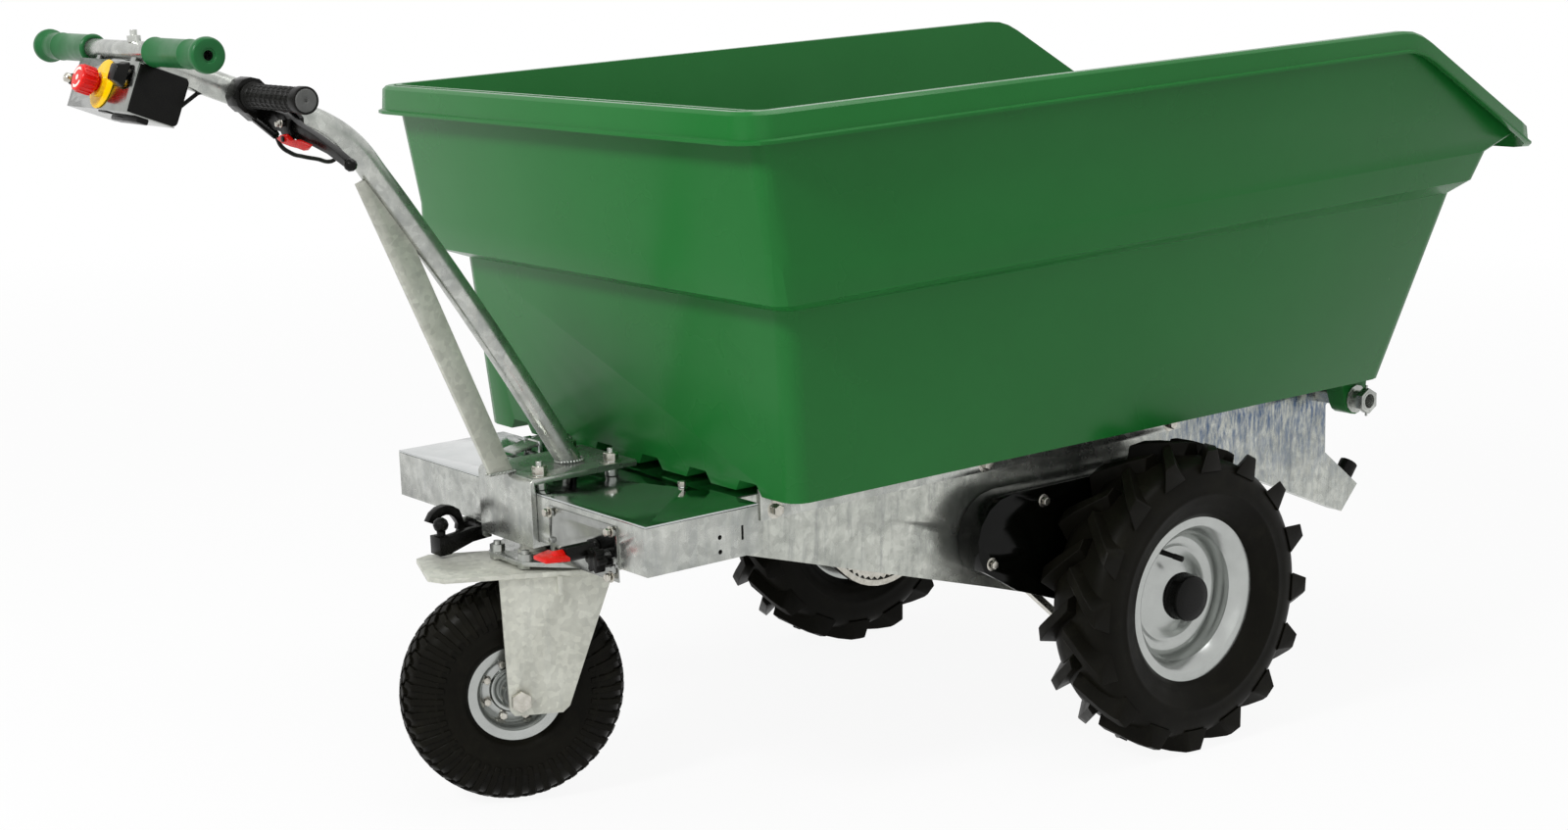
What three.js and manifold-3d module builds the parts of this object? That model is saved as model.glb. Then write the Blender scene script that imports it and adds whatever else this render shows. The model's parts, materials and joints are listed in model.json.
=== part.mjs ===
// Electric mini dumper: a tipping tub on a chain driven axle, with one swivelling caster under
// the handle end. Millimetres, +X towards the dump end, +Y to the machine's left, +Z up.
// The chassis frame has its origin at the centre of the drive axle and its nose a little high.
import * as THREE from 'three';
import { mergeVertices } from 'three/addons/utils/BufferGeometryUtils.js';
import Module from 'manifold-3d';

const wasm = await Module();
wasm.setup();

// Clearances
const gap = 0.3;
const runGap = 0.5;
const overrun = 2;
const weld = 1e-4;

// Stance
const rakeAngle = 2.3;
const driveRadius = 211;
const casterRadius = 145;
const kingpinX = -803;
const casterTrail = 30;
const casterAngle = -21.4;

// Drive wheels
const driveTyreWidth = 108;
const driveTrack = 720;
const driveRimRadius = 114;
const driveSeatRadius = 101;
const driveLugHeight = 17;
const tyreWall = 9;
const driveLugCount = 16;
const driveLugTurn = 4.4;
const rimSheet = 3;
const rimWidth = 68;
const driveDishDepth = 46;
const rimSlotRadius = 5;
const hubRadius = 23;
const hubCapRadius = 31;
const hubCapWall = 2;
const axleRadius = 12.5;

// Chain drive
const chainPitch = 12.7;
const wheelTeeth = 50;
const pinionTeeth = 10;
const toothDepth = 5;
const sprocketThickness = 7;
const sprocketPlane = 270;
const chainWidth = 12;
const chainHeight = 9;
const pinionX = -240;
const pinionZ = 110;
const pinionShaftRadius = 10;

// Caster wheel and fork
const casterTyreWidth = 84;
const casterRimRadius = 62;
const casterSeatRadius = 50;
const casterRimWidth = 56;
const casterBoltRadius = 8;
const forkInnerHalf = 54;
const forkPlate = 6;
const crownPlate = 6;
const crownZ = 305;
const swivelPlate = 6;
const thrustWasher = 5;
const thrustRadius = 34;
const kingpinRadius = 10;
const kingpinNut = 15;

// Chassis
const sidePlateFace = 250;
const sidePlate = 5;
const sideTopZ = 231;
const sideFlange = 22;
const axleCheekRadius = 56;
const stripHeight = 40;
const stripThickness = 5;
const boxRearX = -822;
const boxFrontX = -657;
const boxHalfWidth = 295;
const boxBottomZ = 172;
const boxTopZ = 231;
const boxSheet = 3;
const coverSheet = 2.5;
const bracketPlate = 8;
const bracketRight = 56;
const bracketLeft = 70;
const bracketTopZ = 252;
const bracketFrontX = -670;
const guardFace = 296;
const guardWall = 3;
const guardEndRadius = 62;
const guardSprocketRadius = 150;
const guardHeelAngle = 215;
const guardToeAngle = 15;
const guardTopAngle = 62;

// Tub
const tubBottomZ = 238;
const tubRimZ = 716;
const tubRise = 0.023;
const tubWall = 6;
const tubBottomHalf = 353;
const tubBottomRearX = -646;
const tubBottomFrontX = 443;
const ledgeZ = 473;
const ledgeTopZ = 489;
const ledgeLowHalf = 368;
const ledgeLowFrontHalf = 398;
const ledgeHighHalf = 412;
const ledgeLowRearX = -662;
const ledgeHighRearX = -700;
const ledgeLowFrontX = 541;
const ledgeHighFrontX = 575;
const spoutHeelX = 603;
const spoutHeelZ = 527;
const rimHalf = 422;
const rimRearX = -744;
const spoutTipX = 680;
const spoutTipZ = 550;
const spoutStartX = 412;
const rimCornerRadius = 30;
const wallCornerRadius = 24;
const lipHeight = 37;
const lipOut = 11;
const lipBead = 5;
const lipTaper = 0.24;
const channelTaper = 0.62;
const earToe = 0.7;
const earArcStart = 200;
const earArcEnd = 340;
const runnerPitch = 105;
const runnerWidth = 50;
const runnerDepth = 14;
const runnerSideLand = 13;
const runnerCount = Math.floor((2 * (tubBottomHalf - runnerSideLand) - runnerWidth) / runnerPitch) + 1;
const tipShaftX = 428;
const tipShaftZ = 203;
const tipShaftRadius = 13.5;
const tipShaftWall = 3;
const earOuter = 315;
const earWidth = 30;
const earHalfLength = 37;
const earRadius = 23;
const bufferRadius = 14;
const bufferLength = 23;
const bufferShare = 0.77;

// Handle
const poleRadius = 16;
const poleWall = 2.6;
const barX = -1284.8;
const barZ = 807;
const barRadius = 11;
const barWall = 2.5;
const barLength = 432;
const gripRadius = 17;
const gripClear = 1.5;
const braceWidth = 36;
const braceThickness = 8;
const controlWidth = 163;
const controlHeight = 56.5;
const controlDepth = 58;
const controlTilt = 22.1;
const brakeX = -1154;
const brakeZ = 749;
const brakeGripRadius = 14.5;
const brakeGripLength = 133;
const brakeGripStart = 38;
const stubRadius = 11;
const leverLength = 132;
const cableRadius = 2.5;

// Angles and counts of facets
const roundSides = 18;
const wheelSides = 24;
const smallSides = 12;
const cornerSteps = 3;
const tyreSegments = 32;
const poleSteps = 16;
const cableSides = 6;
const cableSteps = 36;
const sphereSides = 10;
const sphereRings = 6;

const degrees = Math.PI / 180;
const steel = 0xb9bdc0;
const black = 0x161616;
const green = 0x2e6b3a;

function material(color, roughness, metalness) {
  return new THREE.MeshStandardMaterial({ color, roughness, metalness });
}

const galvanised = () => material(0xb4b8b8, 0.45, 0.8);
const stainless = () => material(0xc9cbcc, 0.2, 0.95);
const brightSteel = () => material(steel, 0.3, 0.9);
const rubber = () => material(0x1c1b19, 0.85, 0);
const blackPlastic = () => material(black, 0.5, 0);
const greenPlastic = () => material(green, 0.45, 0);
const redPlastic = () => material(0xc41c1c, 0.4, 0);
const silverPaint = () => material(0xaeb1b3, 0.35, 0.7);

// Solids: a closed geometry becomes a manifold, is joined or cut, and comes back as a geometry.
function solid(geometry, matrix) {
  const plain = geometry.clone();
  plain.deleteAttribute('normal');
  plain.deleteAttribute('uv');
  if (matrix) plain.applyMatrix4(matrix);
  const merged = mergeVertices(plain, weld);
  const vertProperties = merged.getAttribute('position').array;
  const body = (order) => new wasm.Manifold(new wasm.Mesh({
    numProp: 3,
    vertProperties,
    triVerts: Uint32Array.from(order),
  }));
  const faces = Array.from(merged.index.array);
  const first = body(faces);
  return first.volume() > 0 ? first : body(faces.reverse());
}

function geometryOf(manifold) {
  const mesh = manifold.getMesh();
  const geometry = new THREE.BufferGeometry();
  geometry.setAttribute('position', new THREE.BufferAttribute(Float32Array.from(mesh.vertProperties), 3));
  geometry.setIndex(Array.from(mesh.triVerts));
  geometry.computeVertexNormals();
  return geometry;
}

function joined(first, ...others) {
  return others.reduce((sum, other) => sum.add(other), first);
}

function cut(first, ...others) {
  return others.reduce((rest, other) => rest.subtract(other), first);
}

function part(name, manifold, finish, parent) {
  const mesh = new THREE.Mesh(geometryOf(manifold), finish);
  mesh.name = name;
  parent.add(mesh);
  return mesh;
}

function move(x, y, z) {
  return new THREE.Matrix4().makeTranslation(x, y, z);
}

function turnY(angle) {
  return new THREE.Matrix4().makeRotationY(angle);
}

function box(x0, x1, y0, y1, z0, z1) {
  return solid(new THREE.BoxGeometry(x1 - x0, y1 - y0, z1 - z0),
    move((x0 + x1) / 2, (y0 + y1) / 2, (z0 + z1) / 2));
}

// A round bar along Y from y0 to y1, and one along Z from z0 to z1.
function barY(x, z, radius, y0, y1, sides = smallSides) {
  return solid(new THREE.CylinderGeometry(radius, radius, Math.abs(y1 - y0), sides),
    move(x, (y0 + y1) / 2, z));
}

function barZAt(x, y, radius, z0, z1, sides = smallSides) {
  const upright = new THREE.Matrix4().makeRotationX(Math.PI / 2);
  return solid(new THREE.CylinderGeometry(radius, radius, Math.abs(z1 - z0), sides),
    move(x, y, (z0 + z1) / 2).multiply(upright));
}

function barXAt(y, z, radius, x0, x1, sides = smallSides) {
  const lying = new THREE.Matrix4().makeRotationZ(Math.PI / 2);
  return solid(new THREE.CylinderGeometry(radius, radius, Math.abs(x1 - x0), sides),
    move((x0 + x1) / 2, y, z).multiply(lying));
}

function shapeOf(points) {
  return new THREE.Shape(points.map(([u, v]) => new THREE.Vector2(u, v)));
}

// A plate whose outline is given as (x, z) points, from y0 to y1.
function plateXZ(points, y0, y1) {
  const geometry = new THREE.ExtrudeGeometry(shapeOf(points), { depth: y1 - y0, bevelEnabled: false });
  const upright = new THREE.Matrix4().makeRotationX(Math.PI / 2);
  return solid(geometry, move(0, y1, 0).multiply(upright));
}

// A plate whose outline is given as (x, y) points, from z0 to z1.
function plateXY(points, z0, z1) {
  const geometry = new THREE.ExtrudeGeometry(shapeOf(points), { depth: z1 - z0, bevelEnabled: false });
  return solid(geometry, move(0, 0, z0));
}

// A plate whose outline is given as (y, z) points, from x0 to x1.
function plateYZ(points, x0, x1) {
  const geometry = new THREE.ExtrudeGeometry(shapeOf(points), { depth: x1 - x0, bevelEnabled: false });
  const basis = new THREE.Matrix4().makeBasis(
    new THREE.Vector3(0, 1, 0), new THREE.Vector3(0, 0, 1), new THREE.Vector3(1, 0, 0));
  return solid(geometry, move(x0, 0, 0).multiply(basis));
}

// A turned piece round the Y axis: profile points are (radius, y).
function turned(profile, sides = wheelSides, x = 0, z = 0) {
  const points = profile.map(([radius, y]) => new THREE.Vector2(radius, y));
  return solid(new THREE.LatheGeometry(points, sides), move(x, 0, z));
}

function arcPoints(cx, cz, radius, from, to, steps) {
  return Array.from({ length: steps + 1 }, (unused, index) => {
    const angle = (from + (to - from) * index / steps) * degrees;
    return [cx + radius * Math.cos(angle), cz + radius * Math.sin(angle)];
  });
}

function roundedRectangle(u0, u1, v0, v1, radius, steps = cornerSteps) {
  return [
    ...arcPoints(u1 - radius, v1 - radius, radius, 0, 90, steps),
    ...arcPoints(u0 + radius, v1 - radius, radius, 90, 180, steps),
    ...arcPoints(u0 + radius, v0 + radius, radius, 180, 270, steps),
    ...arcPoints(u1 - radius, v0 + radius, radius, 270, 360, steps),
  ];
}

// A closed skin through rings of points that all have the same count: the first and last ring
// get flat ends, or the last ring joins the first one.
function loft(rings, endless = false) {
  const count = rings[0].length;
  const positions = rings.flat(2);
  const index = [];
  const bands = endless ? rings.length : rings.length - 1;
  for (let ring = 0; ring < bands; ring += 1) {
    const start = ring * count;
    const above = ((ring + 1) % rings.length) * count;
    for (let side = 0; side < count; side += 1) {
      const next = (side + 1) % count;
      index.push(start + side, start + next, above + next, start + side, above + next, above + side);
    }
  }
  const last = (rings.length - 1) * count;
  for (let side = 1; side < count - 1 && !endless; side += 1) {
    index.push(0, side + 1, side);
    index.push(last, last + side, last + side + 1);
  }
  const geometry = new THREE.BufferGeometry();
  geometry.setAttribute('position', new THREE.Float32BufferAttribute(positions, 3));
  geometry.setIndex(index);
  return solid(geometry);
}

// A round tube or rod along a smooth curve through points.
function rodAlong(points, radius, sides, steps) {
  const curve = new THREE.CatmullRomCurve3(points.map((point) => new THREE.Vector3(...point)));
  const section = new THREE.Shape(arcPoints(0, 0, radius, 0, 360 - 360 / sides, sides - 1)
    .map(([u, v]) => new THREE.Vector2(u, v)));
  return solid(new THREE.ExtrudeGeometry(section, { steps, bevelEnabled: false, extrudePath: curve }));
}

// A hexagon nut or bolt head with its axis along Z, standing on z.
function hexZ(x, y, z, acrossFlats, height) {
  return barZAt(x, y, acrossFlats / Math.sqrt(3), z, z + height, 6);
}

function hexY(x, z, y0, y1, acrossFlats) {
  return barY(x, z, acrossFlats / Math.sqrt(3), y0, y1, 6);
}

// The same piece on both sides of the machine: side is 1 on the left, -1 on the right.
function onSide(side, low, high) {
  return side > 0 ? [low, high] : [-high, -low];
}

const sides = [['left', 1], ['right', -1]];

// Groups: the whole machine, the raked chassis, and the frame of the caster.
const machine = new THREE.Group();
const chassis = new THREE.Group();
chassis.position.z = driveRadius;
chassis.rotation.y = -rakeAngle * degrees;
machine.add(chassis);

const casterFrame = new THREE.Group();
casterFrame.position.x = kingpinX;
casterFrame.rotation.z = casterAngle * degrees;
machine.add(casterFrame);

const controls = new THREE.Group();
const controlGap = 3.7;
const controlLead = 16.9;
controls.position.x = barX - controlLead;
controls.position.z = barZ - (barRadius + controlGap - controlLead * Math.sin(controlTilt * degrees))
  / Math.cos(controlTilt * degrees);
controls.rotation.y = controlTilt * degrees;
chassis.add(controls);

// Tub

const spoutSlope = (tubRimZ - spoutTipZ) / (spoutTipX - spoutStartX);
const rimBend = 30;
const rimBendPoints = 4;
const rimBendXs = Array.from({ length: rimBendPoints }, (unused, index) => (
  spoutStartX - rimBend + index * 2 * rimBend / (rimBendPoints - 1)));

// Levels of the tub body from the bottom up: height at the rear, rise along the tub, rear x,
// front x, half width at the rear and half width at the front.
function tubLevels() {
  const share = (spoutHeelZ - ledgeTopZ) / (tubRimZ - ledgeTopZ);
  const heelRearX = ledgeHighRearX + (rimRearX - ledgeHighRearX) * share;
  const heelHalf = ledgeHighHalf + (rimHalf - ledgeHighHalf) * share;
  return [
    [tubBottomZ, 0, tubBottomRearX, tubBottomFrontX, tubBottomHalf, tubBottomHalf],
    [ledgeZ, tubRise, ledgeLowRearX, ledgeLowFrontX, ledgeLowHalf, ledgeLowFrontHalf],
    [ledgeTopZ, tubRise, ledgeHighRearX, ledgeHighFrontX, ledgeHighHalf, ledgeHighHalf],
    [spoutHeelZ, tubRise, heelRearX, spoutHeelX, heelHalf, heelHalf],
    [spoutTipZ, tubRise, heelRearX, spoutTipX, heelHalf, heelHalf],
    [tubRimZ + lipHeight * 2, tubRise, rimRearX, spoutTipX, rimHalf, rimHalf],
  ];
}

// The tub body, drawn in by an inset that is zero for the outside, up from a floor height.
function tubBody(inset, floorZ) {
  const rings = tubLevels().map(([z, rise, rear, front, rearHalf, frontHalf], level) => {
    const height = level === 0 ? floorZ : z + inset;
    const flare = (frontHalf - rearHalf) / (front - rear) / rearHalf;
    return roundedRectangle(rear + inset, front - inset, -rearHalf + inset, rearHalf - inset,
      wallCornerRadius - inset)
      .map(([x, y]) => [x, y + y * flare * (x - rear), height + rise * (x - rimRearX)]);
  });
  return loft(rings);
}

// Height of the rim line: a slight rise, then a round bend, then straight down along the spout.
function rimLine(x) {
  const level = tubRimZ + tubRise * (x - rimRearX);
  const bendStart = spoutStartX - rimBend;
  const bendEnd = spoutStartX + rimBend;
  if (x <= bendStart) return level;
  if (x >= bendEnd) return level - (x - spoutStartX) * spoutSlope;
  return level - spoutSlope * (x - bendStart) ** 2 / (4 * rimBend);
}

function underRim() {
  const reach = rimHalf * 2;
  const xs = [rimRearX - reach, ...rimBendXs, spoutTipX + reach];
  const line = xs.map((x) => [x, rimLine(x)]).reverse();
  const low = tubBottomZ - reach;
  return plateXZ([[rimRearX - reach, low], [spoutTipX + reach, low], ...line], -reach, reach);
}

// The rim apron: one section swept round the rim, as (outward, downward) steps. It hangs outside
// the wall, ends in a bead, and grows lower towards the rear.
function rimLip() {
  const path = roundedRectangle(rimRearX, spoutTipX, -rimHalf, rimHalf, rimCornerRadius);
  const bends = rimBendXs.slice().reverse();
  const steps = cornerSteps + 1;
  path.splice(steps, 0, ...bends.map((x) => [x, rimHalf]));
  path.splice(steps * 3 + bends.length, 0, ...rimBendXs.map((x) => [x, -rimHalf]));
  const middleX = (rimRearX + spoutTipX) / 2;
  const outward = ([x, y], grow) => {
    const flatX = Math.abs(x - middleX) <= (spoutTipX - rimRearX) / 2 - rimCornerRadius;
    const flatY = Math.abs(y) <= rimHalf - rimCornerRadius;
    const cornerX = middleX + Math.sign(x - middleX) * ((spoutTipX - rimRearX) / 2 - rimCornerRadius);
    const cornerY = Math.sign(y) * (rimHalf - rimCornerRadius);
    const dx = flatX ? 0 : x - cornerX;
    const dy = flatY ? 0 : y - cornerY;
    const length = Math.hypot(dx, dy);
    return [x + dx / length * grow, y + dy / length * grow];
  };
  const section = [
    [-tubWall, tubWall * 3], [-tubWall, 0], [lipOut * 0.35, 0], [lipOut * 0.8, lipHeight * 0.12],
    [lipOut, lipHeight * 0.84], [lipOut + lipBead, lipHeight * 0.89], [lipOut + lipBead, lipHeight],
    [lipOut * 0.5, lipHeight], [lipOut * 0.25, lipHeight * 0.35], [-tubWall / 2, tubWall * 3],
  ];
  const rings = section.map(([grow, drop]) => path.map((point) => {
    const [x, y] = outward(point, grow);
    const along = (point[0] - rimRearX) / (spoutTipX - rimRearX);
    return [x, y, rimLine(point[0]) - drop * (1 - lipTaper * along)];
  }));
  return loft(rings, true);
}

// One channel along X under the tub floor: a trapezoid whose mouth is at the bottom.
function floorChannel(y, mouth, roof, z0, z1, x0, x1) {
  return plateYZ([[y - mouth / 2, z0], [y + mouth / 2, z0], [y + roof / 2, z1], [y - roof / 2, z1]], x0, x1);
}

function channelY(index) {
  return (index - (runnerCount - 2) / 2) * runnerPitch;
}

function tub() {
  const floorZ = tubBottomZ + runnerDepth + tubWall;
  const shell = tubBody(0, tubBottomZ).intersect(underRim());
  const channelMouth = runnerPitch - runnerWidth;
  const channelRoof = channelMouth * channelTaper;
  const lengthBox = [ledgeHighRearX, ledgeLowFrontX];
  let body = joined(cut(shell, tubBody(tubWall, floorZ)), rimLip());
  for (let index = 0; index < runnerCount - 1; index += 1) {
    body = body.subtract(
      floorChannel(channelY(index), channelMouth, channelRoof, tubBottomZ - overrun, tubBottomZ + runnerDepth, ...lengthBox));
  }
  const channelInset = tubWall * 4;
  for (let index = 1; index < runnerCount - 1; index += 1) {
    const y = (index - (runnerCount - 1) / 2) * runnerPitch;
    body = body.subtract(floorChannel(y, runnerWidth * 0.5, runnerWidth * 0.8, tubBottomZ + tubWall,
      floorZ + overrun, tubBottomRearX + channelInset, tubBottomFrontX - channelInset));
  }
  for (const [, side] of sides) {
    const [inner, outer] = onSide(side, earOuter - earWidth, earOuter);
    const earTopZ = tubBottomZ + tubWall;
    const ear = plateXZ([
      [tipShaftX - earHalfLength, earTopZ],
      ...arcPoints(tipShaftX, tipShaftZ, earRadius, earArcStart, earArcEnd, cornerSteps * 2),
      [tipShaftX + earHalfLength * earToe, earTopZ],
    ], inner, outer);
    body = body.add(ear).subtract(
      barY(tipShaftX, tipShaftZ, tipShaftRadius + gap, inner - overrun, outer + overrun, roundSides));
  }
  return body;
}

part('tub', tub(), greenPlastic(), chassis);

// Tipping shaft, with a washer and a pinned collar outside each ear
const collarRadius = 19;
const collarLength = 11;
const washerRadius = 21;
const washerThickness = 2.5;
const shaftSpacer = 12;
const shaftEnd = earOuter + washerThickness + shaftSpacer + collarLength + gap * 2 + runGap;

function shaftCollar(side) {
  const start = earOuter + runGap;
  const [w0, w1] = onSide(side, start, start + washerThickness);
  const collarStart = start + washerThickness + shaftSpacer;
  const [c0, c1] = onSide(side, collarStart, collarStart + collarLength);
  const pinRadius = collarLength * 0.18;
  const pinY = side * (collarStart + collarLength / 2);
  return joined(
    barY(tipShaftX, tipShaftZ, washerRadius, w0, w1, smallSides),
    barY(tipShaftX, tipShaftZ, collarRadius, c0, c1, 6),
    barZAt(tipShaftX, pinY, pinRadius, tipShaftZ - collarRadius * 1.2, tipShaftZ + collarRadius * 1.2, 8),
  );
}

function tippingShaft() {
  const outer = barY(tipShaftX, tipShaftZ, tipShaftRadius, -shaftEnd, shaftEnd, roundSides);
  const bore = barY(tipShaftX, tipShaftZ, tipShaftRadius - tipShaftWall, -shaftEnd - overrun,
    shaftEnd + overrun, roundSides);
  return cut(joined(outer, shaftCollar(1), shaftCollar(-1)), bore);
}

part('tipping_shaft', tippingShaft(), galvanised(), chassis);

// Side plates: outline of one plate as (x, z) points
const noseRadius = 24;
const hookTipX = 515;
const hookTipZ = 49;
const hookLowX = 479;
const hookLowZ = 12;
const hookInnerX = 440;
const hookInnerZ = 110;
const archX = 171;
const archZ = 144;
const shoulderX = -238;
const shoulderZ = 35;
const rearEdgeZ = 161;
const cheekArcStart = 205;
const cheekArcEnd = 350;
const noseArcStart = -60;

function sideOutline() {
  return [
    [boxFrontX + gap, sideTopZ],
    [boxFrontX + gap, rearEdgeZ],
    [shoulderX, shoulderZ],
    ...arcPoints(0, 0, axleCheekRadius, cheekArcStart, cheekArcEnd, cornerSteps * 2),
    [archX, archZ],
    [hookLowX, hookLowZ],
    [hookTipX, hookTipZ],
    [hookInnerX, hookInnerZ],
    ...arcPoints(tipShaftX, tipShaftZ, noseRadius, noseArcStart, 90, cornerSteps * 2),
    [tipShaftX - noseRadius, sideTopZ],
  ];
}

// A folded flange along one straight edge of the side plate, turned inwards.
function edgeFlange(side, from, to) {
  const [dx, dz] = [to[0] - from[0], to[1] - from[1]];
  const length = Math.hypot(dx, dz);
  const [nx, nz] = [-dz / length * sidePlate, dx / length * sidePlate];
  const [y0, y1] = onSide(side, sidePlateFace - sideFlange, sidePlateFace - sidePlate * 0.5);
  const trim = sidePlate;
  const [ux, uz] = [dx / length * trim, dz / length * trim];
  return plateXZ([
    [from[0] + ux, from[1] + uz],
    [to[0] - ux, to[1] - uz],
    [to[0] - ux + nx, to[1] - uz + nz],
    [from[0] + ux + nx, from[1] + uz + nz],
  ], y0, y1);
}

function sidePlateSolid(side) {
  const [y0, y1] = onSide(side, sidePlateFace - sidePlate, sidePlateFace);
  const plate = plateXZ(sideOutline(), y0, y1);
  const holes = [
    barY(0, 0, axleRadius + gap, y0 - overrun, y1 + overrun, roundSides),
    barY(tipShaftX, tipShaftZ, tipShaftRadius + gap, y0 - overrun, y1 + overrun, roundSides),
    barY(pinionX, pinionZ, pinionShaftRadius + runGap, y0 - overrun, y1 + overrun, roundSides),
  ];
  return cut(joined(
    plate,
    edgeFlange(side, [boxFrontX + sideFlange, rearEdgeZ - (sideFlange - gap)
      * (rearEdgeZ - shoulderZ) / (shoulderX - boxFrontX)], [shoulderX, shoulderZ]),
    edgeFlange(side, [archX + sideFlange, archZ - sideFlange * (archZ - hookLowZ) / (hookLowX - archX)],
      [hookLowX, hookLowZ]),
    edgeFlange(side, [hookTipX, hookTipZ], [hookInnerX, hookInnerZ]),
  ), ...holes);
}

for (const [name, side] of sides) {
  part(`${name}_side_plate`, sidePlateSolid(side), galvanised(), chassis);
}

// Support strips that the tub rests on, bolted outside the top of each side plate
const stripRearX = -624;
const stripBolts = 3;
const stripBoltPitch = 350;
const stripBoltFirst = 23;
const stripBoltDrop = 0.72;
const stripFrontX = stripRearX + stripBoltFirst * 2 + stripBoltPitch * (stripBolts - 1);
const stripBoltHead = 13;
const stripBoltHeight = 7;

function supportStrip(side) {
  const [y0, y1] = onSide(side, sidePlateFace + gap, sidePlateFace + gap + stripThickness);
  const top = tubBottomZ - gap;
  let strip = plateXZ([
    [stripRearX, top - stripHeight],
    [stripFrontX, top - stripHeight],
    [stripFrontX, top],
    [stripRearX, top],
  ], y0, y1);
  for (let bolt = 0; bolt < stripBolts; bolt += 1) {
    const x = stripRearX + stripBoltFirst + bolt * stripBoltPitch;
    const [b0, b1] = onSide(side, sidePlateFace + stripThickness * 0.6,
      sidePlateFace + gap + stripThickness + stripBoltHeight);
    strip = strip.add(hexY(x, top - stripHeight * stripBoltDrop, b0, b1, stripBoltHead));
  }
  return strip;
}

for (const [name, side] of sides) {
  part(`${name}_support_strip`, supportStrip(side), galvanised(), chassis);
}

// Rubber buffers on the hooks, which catch the tipped tub
function buffer(side) {
  const edge = new THREE.Vector2(hookTipX - hookInnerX, hookTipZ - hookInnerZ);
  const tilt = Math.atan2(edge.y, edge.x);
  const middleX = hookInnerX + (hookTipX - hookInnerX) * bufferShare;
  const middleZ = hookInnerZ + (hookTipZ - hookInnerZ) * bufferShare;
  const y = side * (sidePlateFace - bufferRadius);
  const place = move(middleX, y, middleZ).multiply(turnY(-tilt));
  const lying = new THREE.Matrix4().makeRotationX(Math.PI / 2);
  const raised = move(0, 0, bufferLength / 2 + gap);
  return solid(new THREE.CylinderGeometry(bufferRadius, bufferRadius, bufferLength, smallSides),
    place.multiply(raised).multiply(lying));
}

for (const [name, side] of sides) {
  part(`${name}_buffer`, buffer(side), rubber(), chassis);
}

// Electrics box: an open sheet box across the rear of the chassis, with a flanged cover
const slotLength = 18;
const slotWidth = 3;
const slotInsetX = 26;
const drainRadius = 3;
const coverBoltHead = 8;
const coverBoltHeight = 6;

function electricsBox() {
  const shell = cut(
    box(boxRearX, boxFrontX, -boxHalfWidth, boxHalfWidth, boxBottomZ, boxTopZ),
    box(boxRearX + boxSheet, boxFrontX - boxSheet, -boxHalfWidth + boxSheet, boxHalfWidth - boxSheet,
      boxBottomZ + boxSheet, boxTopZ + overrun),
  );
  const slotX = boxFrontX - slotInsetX;
  const middleZ = (boxBottomZ + boxTopZ) / 2;
  const slot = box(slotX, slotX + slotWidth, -boxHalfWidth - overrun, boxHalfWidth + overrun,
    middleZ - slotLength / 2, middleZ + slotLength / 2);
  const holeX = slotX - slotLength * 1.8;
  const upper = barY(holeX, middleZ, drainRadius, -boxHalfWidth - overrun, boxHalfWidth + overrun, 8);
  const lower = barY(holeX, middleZ - slotLength, drainRadius, -boxHalfWidth - overrun,
    boxHalfWidth + overrun, 8);
  const harness = box(boxFrontX - boxSheet - overrun, boxFrontX + overrun, -slotLength * 3, slotLength * 3,
    middleZ - slotLength, middleZ + slotLength);
  return cut(shell, slot, upper, lower, harness, isolatorHole(), socketHole());
}

// Where the pole foot and the cables pass the cover and the bracket
const poleFootX = -736;
const cableHoleRadius = poleRadius - poleWall;

function electricsCover() {
  const top = boxTopZ + gap + coverSheet;
  const skin = box(boxRearX, boxFrontX, -boxHalfWidth, boxHalfWidth, boxTopZ + gap, top);
  const cableHole = barZAt(poleFootX, 0, poleRadius + cableRadius, boxTopZ - overrun, top + overrun, smallSides);
  const drainHole = box(boxRearX + slotLength * 2, boxRearX + slotLength * 4, boxHalfWidth * 0.3,
    boxHalfWidth * 0.3 + slotLength * 0.6, boxTopZ - overrun, top + overrun);
  let cover = cut(skin, cableHole, drainHole);
  const boltInset = slotLength;
  for (const side of [1, -1]) {
    const y = side * (boxHalfWidth * 0.55);
    cover = cover.add(hexZ(boxFrontX - boltInset, y, top - coverSheet / 2, coverBoltHead, coverBoltHeight));
  }
  return cover;
}

// Deck sheet over the chassis between the side plates
const deckSheet = 2;
const deckFrontX = 60;

function deck() {
  const half = sidePlateFace - sidePlate - gap;
  const sheet = box(boxFrontX + gap, deckFrontX, -half, half, sideTopZ - deckSheet, sideTopZ);
  const lip = box(deckFrontX - deckSheet, deckFrontX, -half, half, sideTopZ - sideFlange, sideTopZ);
  return joined(sheet, lip);
}

part('deck_sheet', deck(), stainless(), chassis);

// Isolator and charging socket on the rear wall of the box
const panelInset = 59;
const panelClear = 30;
const panelRight = -boxHalfWidth + panelInset;
const panelLeft = -bracketRight - panelClear;
const isolatorInset = 47;
const isolatorY = panelRight + isolatorInset;
const isolatorZ = 189.5;
const isolatorRadius = 10;
const isolatorLength = 58;
const isolatorFlange = 15;
const socketInset = 21;
const socketY = panelRight + socketInset;
const socketZ = 182;
const socketRadius = 16;
const socketLength = 22;
const socketLobes = 6;
const panelSheet = 2;
const panelTopZ = 224;
const panelBottomZ = 155;
const panelScrewInset = 8;

function isolatorHole() {
  return barXAt(isolatorY, isolatorZ, isolatorRadius * 0.6, boxRearX - overrun, boxRearX + boxSheet + overrun, 12);
}

function socketHole() {
  return barXAt(socketY, socketZ, socketRadius * 0.4, boxRearX - overrun, boxRearX + boxSheet + overrun, 12);
}

part('electrics_box', electricsBox(), galvanised(), chassis);

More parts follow.
